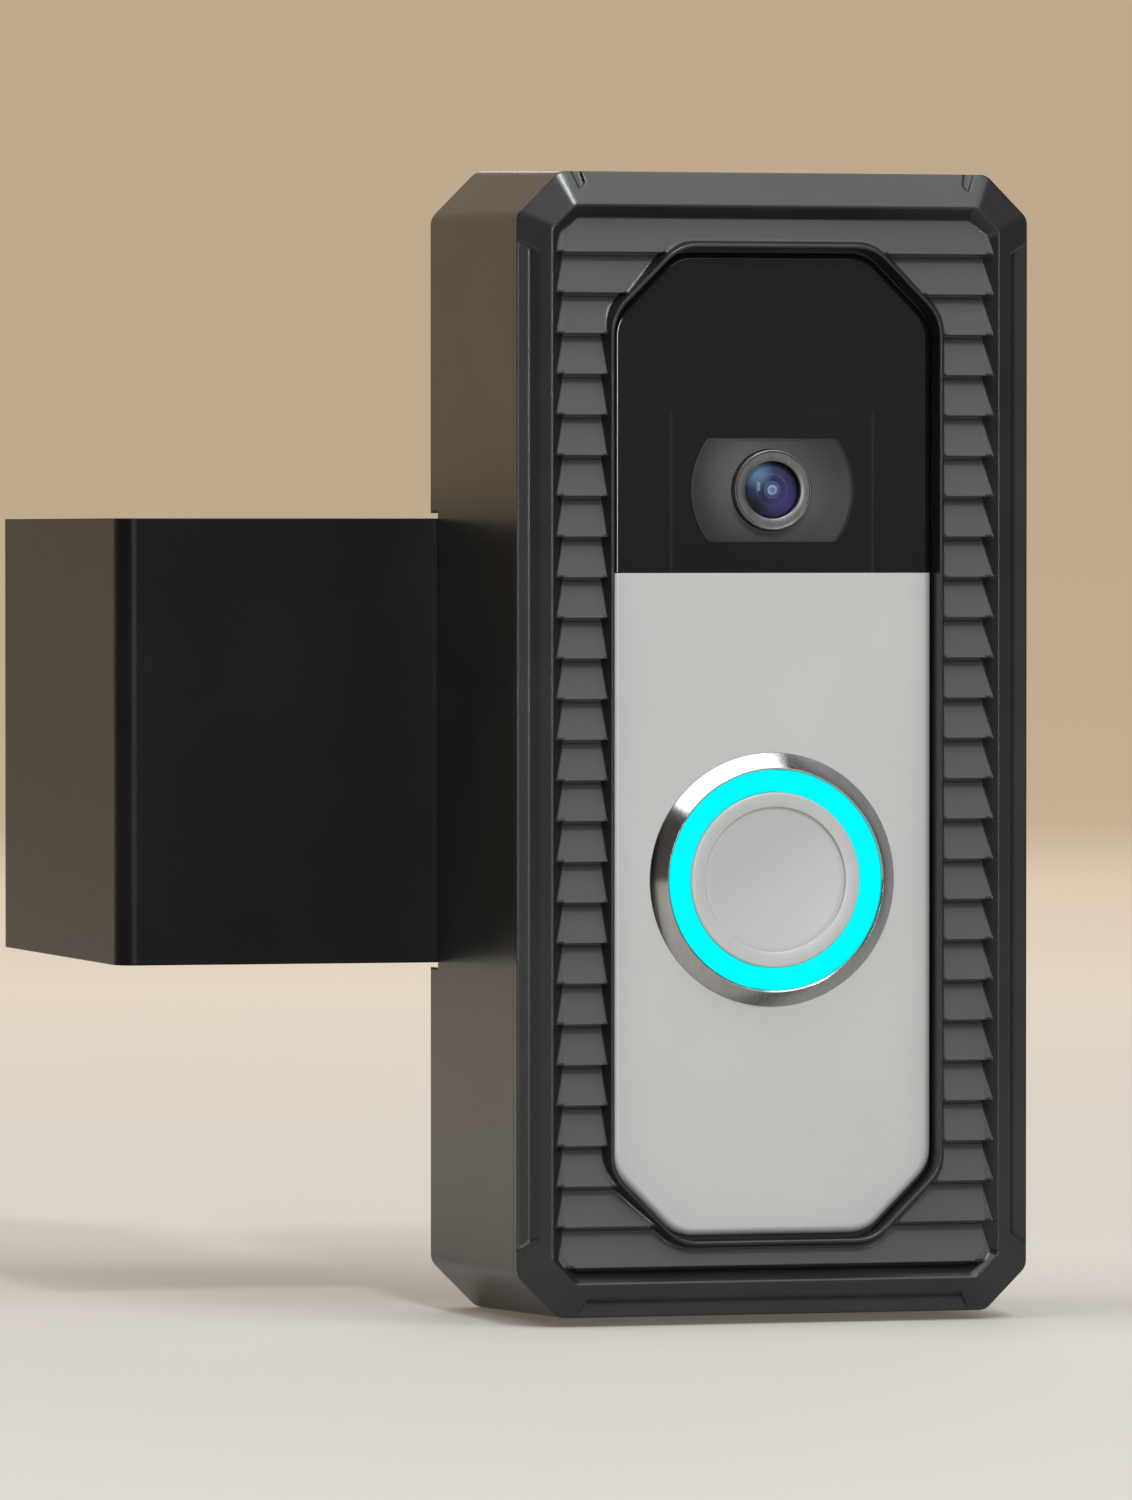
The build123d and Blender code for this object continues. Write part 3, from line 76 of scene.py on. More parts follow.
class Surface:
    """One Principled material with helpers for its pattern nodes.

    Patterns read the part's own coordinates, in metres.
    """

    def __init__(self, name):
        self.material = bpy.data.materials.new(name)
        self.material.use_nodes = True
        self.tree = self.material.node_tree
        self.shader = self.tree.nodes["Principled BSDF"]
        self.coordinates = self.tree.nodes.new("ShaderNodeTexCoord").outputs["Object"]
        self.normal = None

    def node(self, kind, **settings):
        made = self.tree.nodes.new(kind)
        for key, value in settings.items():
            setattr(made, key, value)
        return made

    def link(self, source, target):
        self.tree.links.new(source, target)

    def set(self, **values):
        """Plain values on the shader's own sockets: base_color=(r, g, b), roughness=0.4 and so on."""
        for key, value in values.items():
            socket = self.shader.inputs[key.replace("_", " ").title().replace("Ior", "IOR")]
            socket.default_value = (*value, 1.0) if isinstance(value, tuple) else value
        return self

    def stretched(self, scale):
        """The part's coordinates, stretched: a bigger number makes a finer pattern along that axis."""
        mapping = self.node("ShaderNodeMapping")
        mapping.inputs["Scale"].default_value = scale
        self.link(self.coordinates, mapping.inputs["Vector"])
        return mapping.outputs["Vector"]

    def axes(self):
        """The part's X, Y and Z coordinates, in metres."""
        made = self.node("ShaderNodeSeparateXYZ")
        self.link(self.coordinates, made.inputs["Vector"])
        return made.outputs

    def noise(self, size, detail=3.0, scale=EVEN):
        """Noise from 0 to 1 with blobs about size metres wide."""
        made = self.node("ShaderNodeTexNoise")
        made.inputs["Scale"].default_value = 1.0 / size
        made.inputs["Detail"].default_value = detail
        self.link(self.stretched(scale), made.inputs["Vector"])
        return made.outputs["Fac"]

    def distance(self, centre, axes=EVEN):
        """Distance in metres from a point, or from the line along an axis that is given as 0."""
        mapping = self.node("ShaderNodeMapping", vector_type="POINT")
        mapping.inputs["Scale"].default_value = axes
        mapping.inputs["Location"].default_value = [-c * a for c, a in zip(centre, axes)]
        self.link(self.coordinates, mapping.inputs["Vector"])
        length = self.node("ShaderNodeVectorMath", operation="LENGTH")
        self.link(mapping.outputs["Vector"], length.inputs[0])
        return length.outputs["Value"]

    def spread(self, value, low, high):
        """Stretches low to high into 0 to 1."""
        made = self.node("ShaderNodeMapRange")
        made.inputs["From Min"].default_value = low
        made.inputs["From Max"].default_value = high
        self.link(value, made.inputs["Value"])
        return made.outputs["Result"]

    def cells(self, size):
        """Distance to the middle of the nearest of many cells about size metres wide."""
        made = self.node("ShaderNodeTexVoronoi", feature="F1")
        made.inputs["Scale"].default_value = 1.0 / size
        self.link(self.stretched(EVEN), made.inputs["Vector"])
        return made.outputs["Distance"]

    def ramp(self, value, *stops):
        """A colour ramp: stops are (place, (r, g, b)) or (place, grey)."""
        made = self.node("ShaderNodeValToRGB")
        self.link(value, made.inputs["Fac"])
        points = made.color_ramp.elements
        while len(points) < len(stops):
            points.new(0.5)
        for point, (place, colour) in zip(points, stops):
            point.position = place
            rgb = colour if isinstance(colour, tuple) else grey(colour)
            point.color = (*rgb, 1.0)
        return made.outputs["Color"]

    def colour(self, source):
        self.link(source, self.shader.inputs["Base Color"])
        return self

    def roughness(self, source, low, high):
        """Roughness that follows a 0 to 1 pattern."""
        self.link(self.between(source, low, high), self.shader.inputs["Roughness"])
        return self

    def math(self, operation, first, second=None):
        """One arithmetic step on a pattern; the second value is another pattern or a plain number."""
        made = self.node("ShaderNodeMath", operation=operation)
        self.link(first, made.inputs[0])
        if isinstance(second, float):
            made.inputs[1].default_value = second
        elif second is not None:
            self.link(second, made.inputs[1])
        return made.outputs["Value"]

    def between(self, factor, low, high):
        """A value that goes from low to high as the factor goes from 0 to 1."""
        made = self.node("ShaderNodeMapRange")
        made.inputs["To Min"].default_value = low
        made.inputs["To Max"].default_value = high
        self.link(factor, made.inputs["Value"])
        return made.outputs["Result"]

    def mix(self, factor, first, second):
        """The first colour where the factor is 0 and the second where it is 1."""
        made = self.node("ShaderNodeMix", data_type="RGBA")
        self.link(factor, made.inputs["Factor"])
        for place, colour in (("A", first), ("B", second)):
            socket = next(s for s in made.inputs if s.name == place and s.type == "RGBA")
            if isinstance(colour, tuple):
                socket.default_value = (*colour, 1.0)
            else:
                self.link(colour, socket)
        return next(s for s in made.outputs if s.type == "RGBA")

    def soft_edges(self, radius):
        """Rounds sharp edges in the shading; the radius is a number of metres or a pattern."""
        made = self.node("ShaderNodeBevel", samples=EDGE_SAMPLES)
        if isinstance(radius, float):
            made.inputs["Radius"].default_value = radius
        else:
            self.link(radius, made.inputs["Radius"])
        self.normal = made.outputs["Normal"]
        self.link(self.normal, self.shader.inputs["Normal"])
        return self

    def bump(self, height, depth):
        """Relief of about depth metres where the pattern goes from 0 to 1."""
        made = self.node("ShaderNodeBump")
        made.inputs["Distance"].default_value = depth
        made.inputs["Strength"].default_value = 1.0
        self.link(height, made.inputs["Height"])
        if self.normal:
            self.link(self.normal, made.inputs["Normal"])
        self.normal = made.outputs["Normal"]
        self.link(self.normal, self.shader.inputs["Normal"])
        return self


def drifting(surface, drift, dark, light):
    """A colour that follows a noise pattern from one tone to a close one."""
    return surface.ramp(drift, *zip(TONE_STOPS, (dark, light)))


def two_tone(name, dark, light, size, detail=3.0, scale=EVEN):
    """A surface whose colour drifts between two close tones."""
    surface = Surface(name)
    surface.colour(drifting(surface, surface.noise(size, detail, scale), dark, light))
    return surface


def dress(surface, *names):
    """Gives the named CAD parts one material in place of their own."""
    for name in names:
        slots = nodes[name].data.materials
        slots.clear()
        slots.append(surface.material)


# ---------------------------------------------------------------- materials
# Outline of the frame's louvred channel: half width and height, and the corner cut, which is where |X| + |Z|
# reaches this much. The lip inside it has an outline of its own.
CHANNEL_HALF = (27.95 * MM, 66.8 * MM)
CHANNEL_CORNER = 92.8 * MM
LIP_HALF = (22.75 * MM, 64.35 * MM)
LIP_CORNER = 77.6 * MM

# The camera module behind the black glass: its outline, and the line that shows along its sides.
MODULE_TOP = 42.4 * MM
MODULE_HALF = 13.0 * MM
MODULE_BAND = 4.0 * MM
MODULE_FADE = 0.05 * MM

# Centres of the painted light on the lens and on the dish round it: painted highlights, painted shade and a
# painted violet reflection. Only X and Z count.
LENS_CENTRE_Z = 32.4 * MM
LENS_CENTRE = (0, 0, LENS_CENTRE_Z)
LENS_RADIUS = 3.6 * MM
# Centre of the painted highlight on the dish, beside the lens at its upper left.
DISH_PAINTED_HIGHLIGHT = (-1.8 * MM, 0, 33.9 * MM)
DISH_REACH = 13.0 * MM
# Painted light on the lens: a highlight crescent at the upper left, shade below it at the left, and a violet
# reflection at the lower right.
PAINTED_CRESCENT_HIGHLIGHT = (-2.2 * MM, 0, 34.9 * MM)
PAINTED_CRESCENT_SHADE = (-2.6 * MM, 0, 30.1 * MM)
PAINTED_VIOLET_REFLECTION = (2.0 * MM, 0, 30.2 * MM)

# Lens coating from the optical axis (0) to the rim (1).
LENS_RINGS = (
    (0.00, (0.30, 0.36, 0.55)),
    (0.05, (0.03, 0.05, 0.10)),
    (0.12, (0.22, 0.26, 0.42)),
    (0.16, (0.17, 0.21, 0.36)),
    (0.22, (0.026, 0.036, 0.080)),
    (0.29, (0.070, 0.090, 0.170)),
    (0.32, (0.020, 0.027, 0.062)),
    (0.50, (0.024, 0.032, 0.075)),
    (0.56, (0.045, 0.056, 0.110)),
    (0.60, (0.026, 0.032, 0.075)),
    (0.82, (0.024, 0.028, 0.070)),
    (0.95, (0.010, 0.014, 0.026)),
    (1.00, (0.003, 0.004, 0.005)),
)
# Painted light on the dish: tones from the painted highlight's centre (0) out to the edge of its reach (1),
# lighter to darker.
DISH_PAINTED_LIGHT_TONES = ((0.0, 0.115), (0.35, 0.072), (0.60, 0.028), (0.80, 0.011), (1.0, 0.006))

# Pattern sizes that the material families share.
MOULDED_DRIFT = 14 * MM
MOULDED_GRAIN = 0.35 * MM
GRAIN_DETAIL = 2.0
BRUSHED = (1, 1, 0.05)


def moulded(name, dark, light, rough, edge=0.2 * MM, depth=0.01 * MM):
    """Moulded plastic: a faint drift of tone, a fine spark-eroded grain and soft edges."""
    surface = two_tone(name, dark, light, MOULDED_DRIFT)
    surface.soft_edges(edge)
    fine = surface.noise(MOULDED_GRAIN, GRAIN_DETAIL)
    surface.roughness(fine, rough - 0.05, rough + 0.06)
    surface.bump(fine, depth)
    return surface


def painted(name, dark, light, rough, edge=0.15 * MM, metal=0.0):
    """Powder coat or lacquer: a fine orange-peel relief."""
    surface = two_tone(name, dark, light, 20 * MM)
    surface.set(metallic=metal)
    surface.soft_edges(edge)
    peel = surface.noise(0.9 * MM, 1.5)
    surface.roughness(peel, rough - 0.04, rough + 0.05)
    surface.bump(peel, 0.006 * MM)
    return surface


def bare_metal(name, dark, light, rough):
    """Plated or machined metal with fine marks along Z."""
    surface = two_tone(name, dark, light, 1.2 * MM, 4.0, BRUSHED)
    surface.set(metallic=1.0)
    surface.soft_edges(0.1 * MM)
    marks = surface.noise(0.25 * MM, 3.0, BRUSHED)
    surface.roughness(marks, rough - 0.06, rough + 0.08)
    surface.bump(marks, 0.004 * MM)
    return surface


def foam(name, dark, light):
    """Open-cell foam: matt, with pores pressed into it."""
    surface = two_tone(name, dark, light, 2 * MM)
    pores = surface.cells(0.5 * MM)
    surface.roughness(pores, 0.95, 0.8)
    surface.bump(pores, 0.15 * MM)
    return surface


def gloss(name, dark, light, rough=0.06):
    """Glass or a smooth film: even in colour, with a faint drift of gloss."""
    surface = two_tone(name, dark, light, 25 * MM)
    surface.roughness(surface.noise(6 * MM), rough, rough + 0.05)
    surface.soft_edges(0.03 * MM)
    return surface


case_black = moulded("case_black", (0.010, 0.009, 0.008), (0.016, 0.014, 0.012), 0.30, edge=0.5 * MM)
bracket_steel = painted("bracket_steel", grey(0.003), grey(0.005), 0.33, edge=0.3 * MM)
bracket_steel.set(specular_ior_level=0.12)
zinc = bare_metal("zinc", (0.50, 0.50, 0.49), (0.66, 0.66, 0.64), 0.32)
brass = bare_metal("brass", (0.60, 0.44, 0.18), (0.75, 0.58, 0.28), 0.3)
black_steel = bare_metal("black_steel", grey(0.03), grey(0.06), 0.4)
gasket = moulded("gasket", grey(0.012), grey(0.02), 0.8)
pad_foam = foam("foam", grey(0.012), grey(0.03))
knob_plastic = moulded("knob", grey(0.018), grey(0.028), 0.45, depth=0.02 * MM)
housing = moulded("housing", (0.02, 0.02, 0.021), (0.03, 0.03, 0.031), 0.5)
silver = painted("silver", (0.420, 0.420, 0.411), (0.442, 0.442, 0.432), 0.42, metal=0.15)
cap_silver = painted(
    "cap_silver", (0.399, 0.403, 0.398), (0.421, 0.424, 0.419), 0.40, edge=0.05 * MM, metal=0.15
)
lens_metal = bare_metal("lens_metal", (0.120, 0.119, 0.117), (0.155, 0.154, 0.151), 0.38)
lens_black = moulded("lens_black", (0.006, 0.006, 0.007), (0.012, 0.012, 0.013), 0.5)
sensor_glass = gloss("sensor_glass", (0.02, 0.03, 0.08), (0.05, 0.07, 0.16))
lamp = gloss("lamp", (0.6, 0.6, 0.62), (0.75, 0.75, 0.78), 0.15)
white_plastic = moulded("white_plastic", (0.70, 0.70, 0.68), (0.78, 0.78, 0.76), 0.5)
chip = moulded("chip", grey(0.02), grey(0.03), 0.55)
battery_wrap = gloss("battery_wrap", (0.03, 0.05, 0.10), (0.04, 0.06, 0.13), 0.25)
chrome = bare_metal("chrome", grey(0.42), grey(0.47), 0.14)
silicone = moulded("silicone", (0.6, 0.6, 0.58), (0.7, 0.7, 0.68), 0.6)


def cover_glass():
    """Near-black gloss, with the faint edges of the camera module behind it."""
    surface = gloss("black_gloss", grey(0.0045), grey(0.0065))
    plain = surface.shader.inputs["Base Color"].links[0].from_socket
    place = surface.axes()
    across = surface.math("ABSOLUTE", place["X"])
    below = surface.spread(place["Z"], MODULE_TOP, MODULE_TOP - MODULE_FADE)
    band = surface.spread(across, MODULE_HALF, MODULE_HALF + MODULE_BAND)
    line = surface.ramp(band, (0.0, 0.0), (0.10, 1.0), (0.16, 0.0))
    surface.colour(surface.mix(surface.math("MULTIPLY", line, below), plain, grey(0.014)))
    return surface.set(specular_ior_level=0.4)


def camera_dish():
    """Satin dish round the lens with painted light: a painted highlight beside the lens at the upper left,
    whose tone falls off to dark towards the rim.
    """
    surface = Surface("camera_satin")
    reach = surface.spread(surface.distance(DISH_PAINTED_HIGHLIGHT, IN_FACE), 0.0, DISH_REACH)
    surface.colour(surface.ramp(reach, *DISH_PAINTED_LIGHT_TONES))
    return surface.set(roughness=0.4, specular_ior_level=0.3)


def frame_plastic():
    """Two finishes in one moulding: smooth and dark outside, lighter and matt in the louvred channel."""
    surface = Surface("frame_black")
    place = surface.axes()
    across = surface.math("ABSOLUTE", place["X"])
    up = surface.math("ABSOLUTE", place["Z"])
    diagonal = surface.math("ADD", across, up)

    def inside(half, corner):
        """1 inside a rectangle with cut corners, else 0."""
        narrow = surface.math("LESS_THAN", across, half[0])
        low = surface.math("LESS_THAN", up, half[1])
        cut = surface.math("LESS_THAN", diagonal, corner)
        return surface.math("MULTIPLY", surface.math("MULTIPLY", narrow, low), cut)

    channel = surface.math(
        "SUBTRACT", inside(CHANNEL_HALF, CHANNEL_CORNER), inside(LIP_HALF, LIP_CORNER)
    )
    surface.soft_edges(surface.between(channel, 0.5 * MM, 0.2 * MM))
    drift = surface.noise(MOULDED_DRIFT)
    smooth = drifting(surface, drift, (0.010, 0.010, 0.0098), (0.014, 0.014, 0.0138))
    matt = drifting(surface, drift, (0.0275, 0.0270, 0.0262), (0.0320, 0.0315, 0.0306))
    surface.colour(surface.mix(channel, smooth, matt))
    surface.roughness(channel, 0.26, 0.55)
    return surface.bump(surface.noise(MOULDED_GRAIN, GRAIN_DETAIL), 0.008 * MM)


def circuit_board():
    """Green solder mask with fine tracks under it and flecks of solder."""
    surface = Surface("circuit")
    tracks = surface.node("ShaderNodeTexBrick")
    tracks.inputs["Scale"].default_value = 600.0
    surface.link(surface.stretched(EVEN), tracks.inputs["Vector"])
    tracks.inputs["Color1"].default_value = (0.012, 0.09, 0.035, 1)
    tracks.inputs["Color2"].default_value = (0.016, 0.12, 0.045, 1)
    tracks.inputs["Mortar"].default_value = (0.03, 0.2, 0.08, 1)
    surface.colour(tracks.outputs["Color"])
    return surface.roughness(surface.noise(1 * MM), 0.25, 0.35)


def lens_glass():
    """Coated glass: blue and violet rings round the axis, with painted light on top: a painted highlight
    crescent at the upper left, painted shade below it at the left and a painted violet reflection at the
    lower right.
    """
    surface = Surface("lens_glass")

    def spot(centre, start, full):
        """0 at the start distance from a centre, 1 at the full distance."""
        return surface.spread(surface.distance(centre, IN_FACE), start, full)

    rings = surface.ramp(spot(LENS_CENTRE, 0.0, LENS_RADIUS), *LENS_RINGS)
    # Painted light on the glass: a violet reflection at the lower right, a highlight crescent at the upper
    # left and shade at the lower left.
    with_violet_reflection = surface.mix(spot(PAINTED_VIOLET_REFLECTION, 3.0 * MM, 0.6 * MM), rings, (0.045, 0.034, 0.135))
    lit = surface.mix(spot(PAINTED_CRESCENT_HIGHLIGHT, 2.5 * MM, 0.5 * MM), with_violet_reflection, (0.090, 0.175, 0.275))
    shaded = surface.mix(spot(PAINTED_CRESCENT_SHADE, 2.4 * MM, 0.6 * MM), lit, (0.012, 0.016, 0.018))
    surface.colour(shaded)
    return surface.set(roughness=0.10, specular_ior_level=0.06)


def cyan_light():
    """The lit ring, whose glow drifts a little along it."""
    surface = Surface("cyan_light")
    glow = surface.ramp(surface.noise(3 * MM, 1.0), (0.3, (0.0, 0.94, 0.96)), (0.7, (0.0, 0.99, 0.99)))
    surface.link(glow, surface.shader.inputs["Emission Color"])
    return surface.set(
        base_color=(0.0, 0.02, 0.02), roughness=0.5, specular_ior_level=0.0, emission_strength=1.0
    )


MATERIALS = [
    (case_black, ["casing"]),
    (frame_plastic(), ["front_frame"]),
    (bracket_steel, ["door_bracket", "pressure_plate"]),
    (
        zinc,
        """base_plate casing_screws bracket_screws clinch_nuts clamp_nuts screw_clip_upper screw_clip_lower
        mounting_screws security_screws housing_screws motion_sensor board_screws shield_can microphone
        terminal_screws""".split(),
    ),
    (brass, ["frame_inserts", "battery_contacts"]),
    (black_steel, ["frame_screws"]),
    (gasket, ["window_gasket", "housing_gasket"]),
    (pad_foam, ["door_pad", "clamp_pad", "edge_pad", "pressure_pad"]),
    (knob_plastic, ["clamp_screw_upper", "clamp_screw_lower"]),
    (housing, ["mounting_plate", "rear_housing", "front_shell"]),
    (cover_glass(), ["camera_cover", "motion_window"]),
    (silver, ["faceplate"]),
    (camera_dish(), ["camera_window"]),
    (lens_metal, ["lens_ring"]),
    (lens_glass(), ["lens_front", "lens_inner"]),
    (lens_black, ["lens_barrel", "lens_holder"]),
    (sensor_glass, ["image_sensor"]),
    (lamp, ["infrared_leds", "ring_leds"]),
    (white_plastic, ["motion_lens", "terminal_block"]),
    (circuit_board(), ["camera_board", "main_board", "wifi_antenna"]),
    (chip, ["board_chips", "speaker", "switch_body", "switch_plunger"]),
    (battery_wrap, ["battery_pack"]),
    (chrome, ["button_bezel"]),
    (cap_silver, ["button_cap"]),
    (cyan_light(), ["light_ring"]),
    (silicone, ["button_spring"]),
]
for surface, names in MATERIALS:
    dress(surface, *names)


# ---------------------------------------------------------------- pieces with detail that CAD leaves out
SEGMENTS = 192
SHARP_ANGLE = math.radians(32)
BUTTON_CENTRE_Z = -17.3 * MM

# The cap's profile: distance in front of the door and radius, in millimetres.
CAP_BODY = [(31.9, 15.6), (32.95, 15.6), (32.95, 11.25)]
CAP_RIM = [(39.5, 11.25), (39.62, 11.22), (39.72, 11.15), (39.78, 11.05), (39.8, 10.9)]
CAP_GROOVE = [(39.8, 9.42), (39.78, 9.36), (39.70, 9.30), (39.45, 9.27), (39.40, 9.20), (39.42, 9.08)]
DISH_RADIUS = 9.0
DISH_DEPTH = 0.45
DISH_EDGE = 39.42
DISH_STEPS = (8.6, 7.8, 6.8, 5.6, 4.2, 2.6, 1.2, 0.3)

# The lens ring's profile, in the same terms.
RING_OUTSIDE = [(36.6, 5.15), (38.50, 5.15), (38.62, 5.10), (38.68, 5.00), (38.66, 4.90), (38.56, 4.84)]
RING_FACE = [(38.50, 4.78), (38.49, 4.30), (38.48, 3.78), (38.42, 3.68), (38.20, 3.60)]
RING_BORE = [(36.6, 3.6)]


def finish_mesh(name, work, surface):
    """Turns bmesh work into a piece with smooth faces and sharp creases."""
    bmesh.ops.recalc_face_normals(work, faces=work.faces[:])
    for face in work.faces:
        face.smooth = True
    for edge in work.edges:
        edge.smooth = len(edge.link_faces) == 2 and edge.calc_face_angle() < SHARP_ANGLE
    mesh = bpy.data.meshes.new(name)
    work.to_mesh(mesh)
    work.free()
    piece = bpy.data.objects.new(name, mesh)
    bpy.context.scene.collection.objects.link(piece)
    mesh.materials.append(surface.material)
    return piece


def stack(name, x, z, sections, surface, segments=SEGMENTS, loop=False):
    """Rings round an axis along Y at (x, z), joined in order.

    A section is (y, radius) in metres; the radius is a number or a function of the angle. A closed loop joins
    the last ring to the first; otherwise both ends are capped.
    """
    work = bmesh.new()
    rings = []
    for y, radius in sections:
        ring = []
        for k in range(segments):
            angle = FULL_TURN * k / segments
            reach = radius(angle) if callable(radius) else radius
            ring.append(work.verts.new((x + reach * math.cos(angle), y, z + reach * math.sin(angle))))
        rings.append(ring)
    pairs = list(zip(rings, rings[1:])) + ([(rings[-1], rings[0])] if loop else [])
    for one, other in pairs:
        for k in range(segments):
            after = (k + 1) % segments
            work.faces.new((one[k], one[after], other[after], other[k]))
    if not loop:
        work.faces.new(rings[0])
        work.faces.new(rings[-1])
    return finish_mesh(name, work, surface)


def millimetres(*points):
    """(distance in front of the door, radius) in millimetres, as (y, radius) in metres."""
    return [(-distance * MM, radius * MM) for distance, radius in points]


def build_button_cap():
    """Pressed cap with a rounded rim, a fine groove, and a shallow dish."""
    dish = [(DISH_EDGE - DISH_DEPTH * (1 - (r / DISH_RADIUS) ** 2), r) for r in DISH_STEPS]
    profile = millimetres(*CAP_BODY, *CAP_RIM, *CAP_GROOVE, *dish)
    piece = stack("button_cap_turned", 0, BUTTON_CENTRE_Z, profile, cap_silver)
    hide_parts("button_cap")
    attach(piece, "button")


def build_lens_ring():
    """Ring round the lens: a thin rounded rim and a flat face that ends in a bevel down to the glass."""
    profile = millimetres(*RING_OUTSIDE, *RING_FACE, *RING_BORE)
    piece = stack("lens_ring_turned", 0, LENS_CENTRE_Z, profile, lens_metal, loop=True)
    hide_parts("lens_ring")
    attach(piece, "case")


# Clamp screws: distances behind the door's outer face. The shank starts with a plain neck in its clip.
THREAD_PITCH = 1.0 * MM
THREAD_STEPS = 12
THREAD_START = 48.5 * MM
THREAD_END = 76.5 * MM
THREAD_ROOT = 2.42 * MM
THREAD_HEIGHT = 0.55 * MM
THREAD_SLOPE = 2.6
THREAD_ROOT_FLAT = 0.15
NECK_START = 44.9 * MM
NECK_END = 48.05 * MM
NECK_RADIUS = 1.9 * MM
SHOULDER_RADIUS = 2.3 * MM
STEEL_END = 77.6 * MM
LOBES = 6
LOBE_SHARPNESS = 2.2
SCREW_SEGMENTS = 96
SCREW_X = -55.5 * MM
SCREW_Z = 15.0 * MM

# Collar (distance, radius) and knob (distance, radius over the lobes, depth between them), in millimetres.
COLLAR = [(77.05, 3.0), (77.05, 5.2), (77.3, 5.5), (78.5, 5.5)]
KNOB = [
    (78.5, 8.3, 1.2),
    (78.65, 8.75, 1.35),
    (79.1, 9.0, 1.45),
    (84.0, 9.0, 1.45),
    (87.4, 8.95, 1.45),
    (88.05, 8.7, 1.35),
    (88.4, 8.2, 1.2),
    (88.5, 7.5, 0.9),
    (88.5, 5.2, 0.0),
    (88.2, 4.9, 0.0),
    (88.1, 4.5, 0.0),
    (88.1, 1.4, 0.0),
    (87.9, 1.2, 0.0),
]


def thread_radius(y):
    """Radius round a rolled thread at y: a flat root, straight flanks and a flat crest."""

    def reach(angle):
        phase = (y / THREAD_PITCH - angle / FULL_TURN) % 1.0
        climb = THREAD_SLOPE * (0.5 - abs(phase - 0.5)) - THREAD_ROOT_FLAT
        return THREAD_ROOT + THREAD_HEIGHT * min(1.0, max(0.0, climb))

    return reach


def lobed_radius(largest, hollow):
    """Radius round the grip: lobes with narrow hollows between them."""

    def reach(angle):
        wave = 0.5 + 0.5 * math.cos(LOBES * angle)
        return largest - hollow * (1 - wave) ** LOBE_SHARPNESS

    return reach


def build_clamp_screw(side, z):
    """Thumbscrew with a rolled thread on its shank and a lobed knob with a dished back."""
    neck = [(NECK_START, NECK_RADIUS), (NECK_END, NECK_RADIUS), (NECK_END, SHOULDER_RADIUS)]
    steps = round((THREAD_END - THREAD_START) / THREAD_PITCH * THREAD_STEPS)
    turned = [THREAD_START + k * THREAD_PITCH / THREAD_STEPS for k in range(steps + 1)]
    thread = [(y, thread_radius(y)) for y in turned]
    collar = [(y * MM, radius * MM) for y, radius in COLLAR]
    knob = [(y * MM, lobed_radius(largest * MM, hollow * MM)) for y, largest, hollow in KNOB]
    sections = neck + thread + collar + knob
    piece = stack(f"clamp_screw_{side}_threaded", SCREW_X, z, sections, knob_plastic, SCREW_SEGMENTS)
    piece.data.materials.append(zinc.material)
    for face in piece.data.polygons:
        face.material_index = 1 if face.center.y < STEEL_END else 0
    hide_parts(f"clamp_screw_{side}")
    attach(piece, f"{side}_screw")


build_button_cap()
build_lens_ring()
build_clamp_screw("upper", SCREW_Z)
build_clamp_screw("lower", -SCREW_Z)


# ---------------------------------------------------------------- studio
FLOOR_Z = cad_box[0].z
STUDIO_RADIUS = 3.6
STUDIO_HEIGHT = 4.0
STUDIO_SIDES = 96
COVE_RADIUS = 1.2
COVE_STEPS = 12
INNER_RING = 1.0

# The paper carries painted light: it is pale near the object and darker far from it, a painted pool of light,
# and it has a painted warm glow towards the back wall that stands in for a lit wall.
PAPER_NEAR = (0.40, 0.385, 0.365)
PAPER_FAR = (0.08, 0.072, 0.062)
PAPER_FADE = (1.0, 2.4)
PAPER_PAINTED_GLOW = (
    (0.30, (0.06, 0.058, 0.055)),
    (0.52, (0.12, 0.105, 0.085)),
    (0.72, (0.47, 0.36, 0.24)),
)


def studio_profile():
    """Radius and height along the sweep from the middle of the floor to the top of the wall."""
    flat_end = STUDIO_RADIUS - COVE_RADIUS
    points = [(0.0, FLOOR_Z), (INNER_RING, FLOOR_Z), (flat_end, FLOOR_Z)]
    for step in range(1, COVE_STEPS + 1):
        angle = math.radians(90 * step / COVE_STEPS)
        out = COVE_RADIUS * math.sin(angle)
        up = COVE_RADIUS * (1 - math.cos(angle))
        points.append((flat_end + out, FLOOR_Z + up))
    points.append((STUDIO_RADIUS, FLOOR_Z + STUDIO_HEIGHT))
    return points


def studio_paper():
    """Matt paper with painted light: a painted pool of light that darkens away from the object, and a painted
    warm glow towards the back wall.
    """
    paper = Surface("studio_paper")
    far = paper.spread(paper.distance((0, 0, 0)), *PAPER_FADE)
    paper.colour(paper.ramp(far, (0.0, PAPER_NEAR), (1.0, PAPER_FAR)))
    back = paper.spread(paper.axes()["Y"], -STUDIO_RADIUS, STUDIO_RADIUS)
    # Painted light: the paper glows warmly towards the back wall, standing in for a lit wall.
    paper.link(paper.ramp(back, *PAPER_PAINTED_GLOW), paper.shader.inputs["Emission Color"])
    return paper.set(roughness=0.9, emission_strength=1.0, specular_ior_level=0.1)


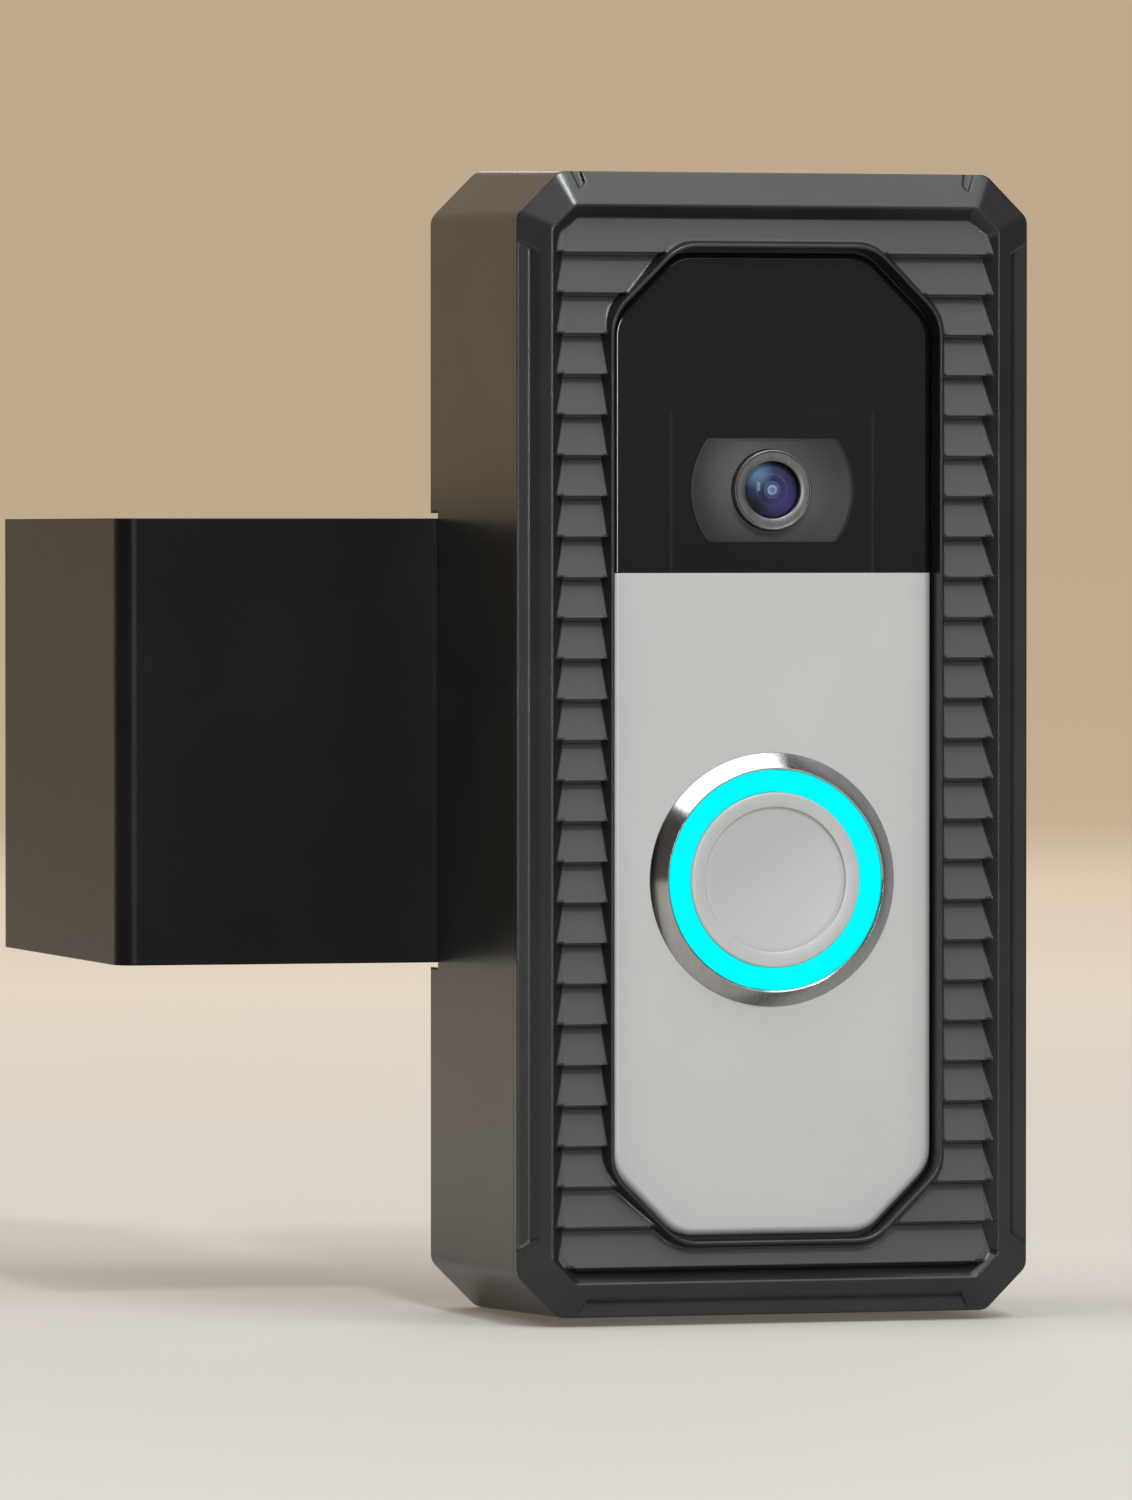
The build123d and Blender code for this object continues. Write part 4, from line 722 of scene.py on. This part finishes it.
def build_studio():
    """A plain pale floor that curves up into a round wall, so no edge shows behind the object."""
    work = bmesh.new()
    turns = [FULL_TURN * k / STUDIO_SIDES for k in range(STUDIO_SIDES)]
    rings = []
    for radius, height in studio_profile():
        if radius == 0:
            rings.append([work.verts.new((0, 0, height))])
        else:
            spots = [(radius * math.cos(t), radius * math.sin(t), height) for t in turns]
            rings.append([work.verts.new(spot) for spot in spots])
    for inner, outer in zip(rings, rings[1:]):
        for k in range(STUDIO_SIDES):
            after = (k + 1) % STUDIO_SIDES
            if len(inner) == 1:
                work.faces.new((inner[0], outer[k], outer[after]))
            else:
                work.faces.new((inner[k], outer[k], outer[after], inner[after]))
    for face in work.faces:
        face.smooth = True
    mesh = bpy.data.meshes.new("studio_floor")
    work.to_mesh(mesh)
    work.free()
    mesh.materials.append(studio_paper().material)
    studio = bpy.data.objects.new("studio_floor", mesh)
    bpy.context.scene.collection.objects.link(studio)


def softbox(name, place, aim, size, power, colour):
    """A rectangular area light; the size is its width and height in metres, the power is in watts."""
    light = bpy.data.lights.new(name, "AREA")
    light.shape = "RECTANGLE"
    light.size, light.size_y = size
    light.energy = power
    light.color = colour
    lamp_object = bpy.data.objects.new(name, light)
    bpy.context.scene.collection.objects.link(lamp_object)
    lamp_object.location = place
    lamp_object.rotation_mode = "QUATERNION"
    lamp_object.rotation_quaternion = (Vector(aim) - Vector(place)).to_track_quat("-Z", "Y")


COOL = (0.95, 0.985, 1.0)
WHITE = (1.0, 1.0, 1.0)
MIDDLE = (0, 0, 0)
TOP_CENTRE = (-0.535, -0.22, 1.75)
TOP_AIM = (-0.535, -0.12, 0)

build_studio()
softbox("key", (0.65, -1.65, 1.6), MIDDLE, (2.0, 1.6), 25, COOL)
softbox("accent", (-0.106, -1.645, 1.573), MIDDLE, (0.2, 0.2), 18, COOL)
softbox("strip", (-0.30, -2.7, 0.15), MIDDLE, (0.22, 1.0), 27, COOL)
softbox("fill", (0.85, -2.7, 0.0), MIDDLE, (1.6, 1.6), 2.2, COOL)
softbox("top", TOP_CENTRE, TOP_AIM, (2.43, 1.45), 35, WHITE)
softbox("back", (0.8, 2.2, 1.2), MIDDLE, (1.0, 1.0), 12, WHITE)

WORLD_STRENGTH = 0.15

world = bpy.data.worlds.new("studio")
bpy.context.scene.world = world
world.use_nodes = True
background = world.node_tree.nodes["Background"]
background.inputs["Color"].default_value = (*WHITE, 1.0)
background.inputs["Strength"].default_value = WORLD_STRENGTH
bpy.context.scene.view_settings.view_transform = "Standard"

# ---------------------------------------------------------------- camera
CAMERA_PLACE = (-0.39461, -1.36350, 0.02644)
CAMERA_YAW = math.radians(15.491)
CAMERA_PITCH = math.radians(-1.127)
LENS_MM = 260.28
SENSOR_MM = 36.0
CLIP_START = 0.1
CLIP_END = 50.0

camera = bpy.data.objects.new("camera", bpy.data.cameras.new("camera"))
bpy.context.scene.collection.objects.link(camera)
camera.data.lens = LENS_MM
camera.data.sensor_width = SENSOR_MM
camera.data.clip_start = CLIP_START
camera.data.clip_end = CLIP_END
camera.location = CAMERA_PLACE
camera.rotation_euler = (math.pi / 2 + CAMERA_PITCH, 0.0, -CAMERA_YAW)
bpy.context.scene.camera = camera
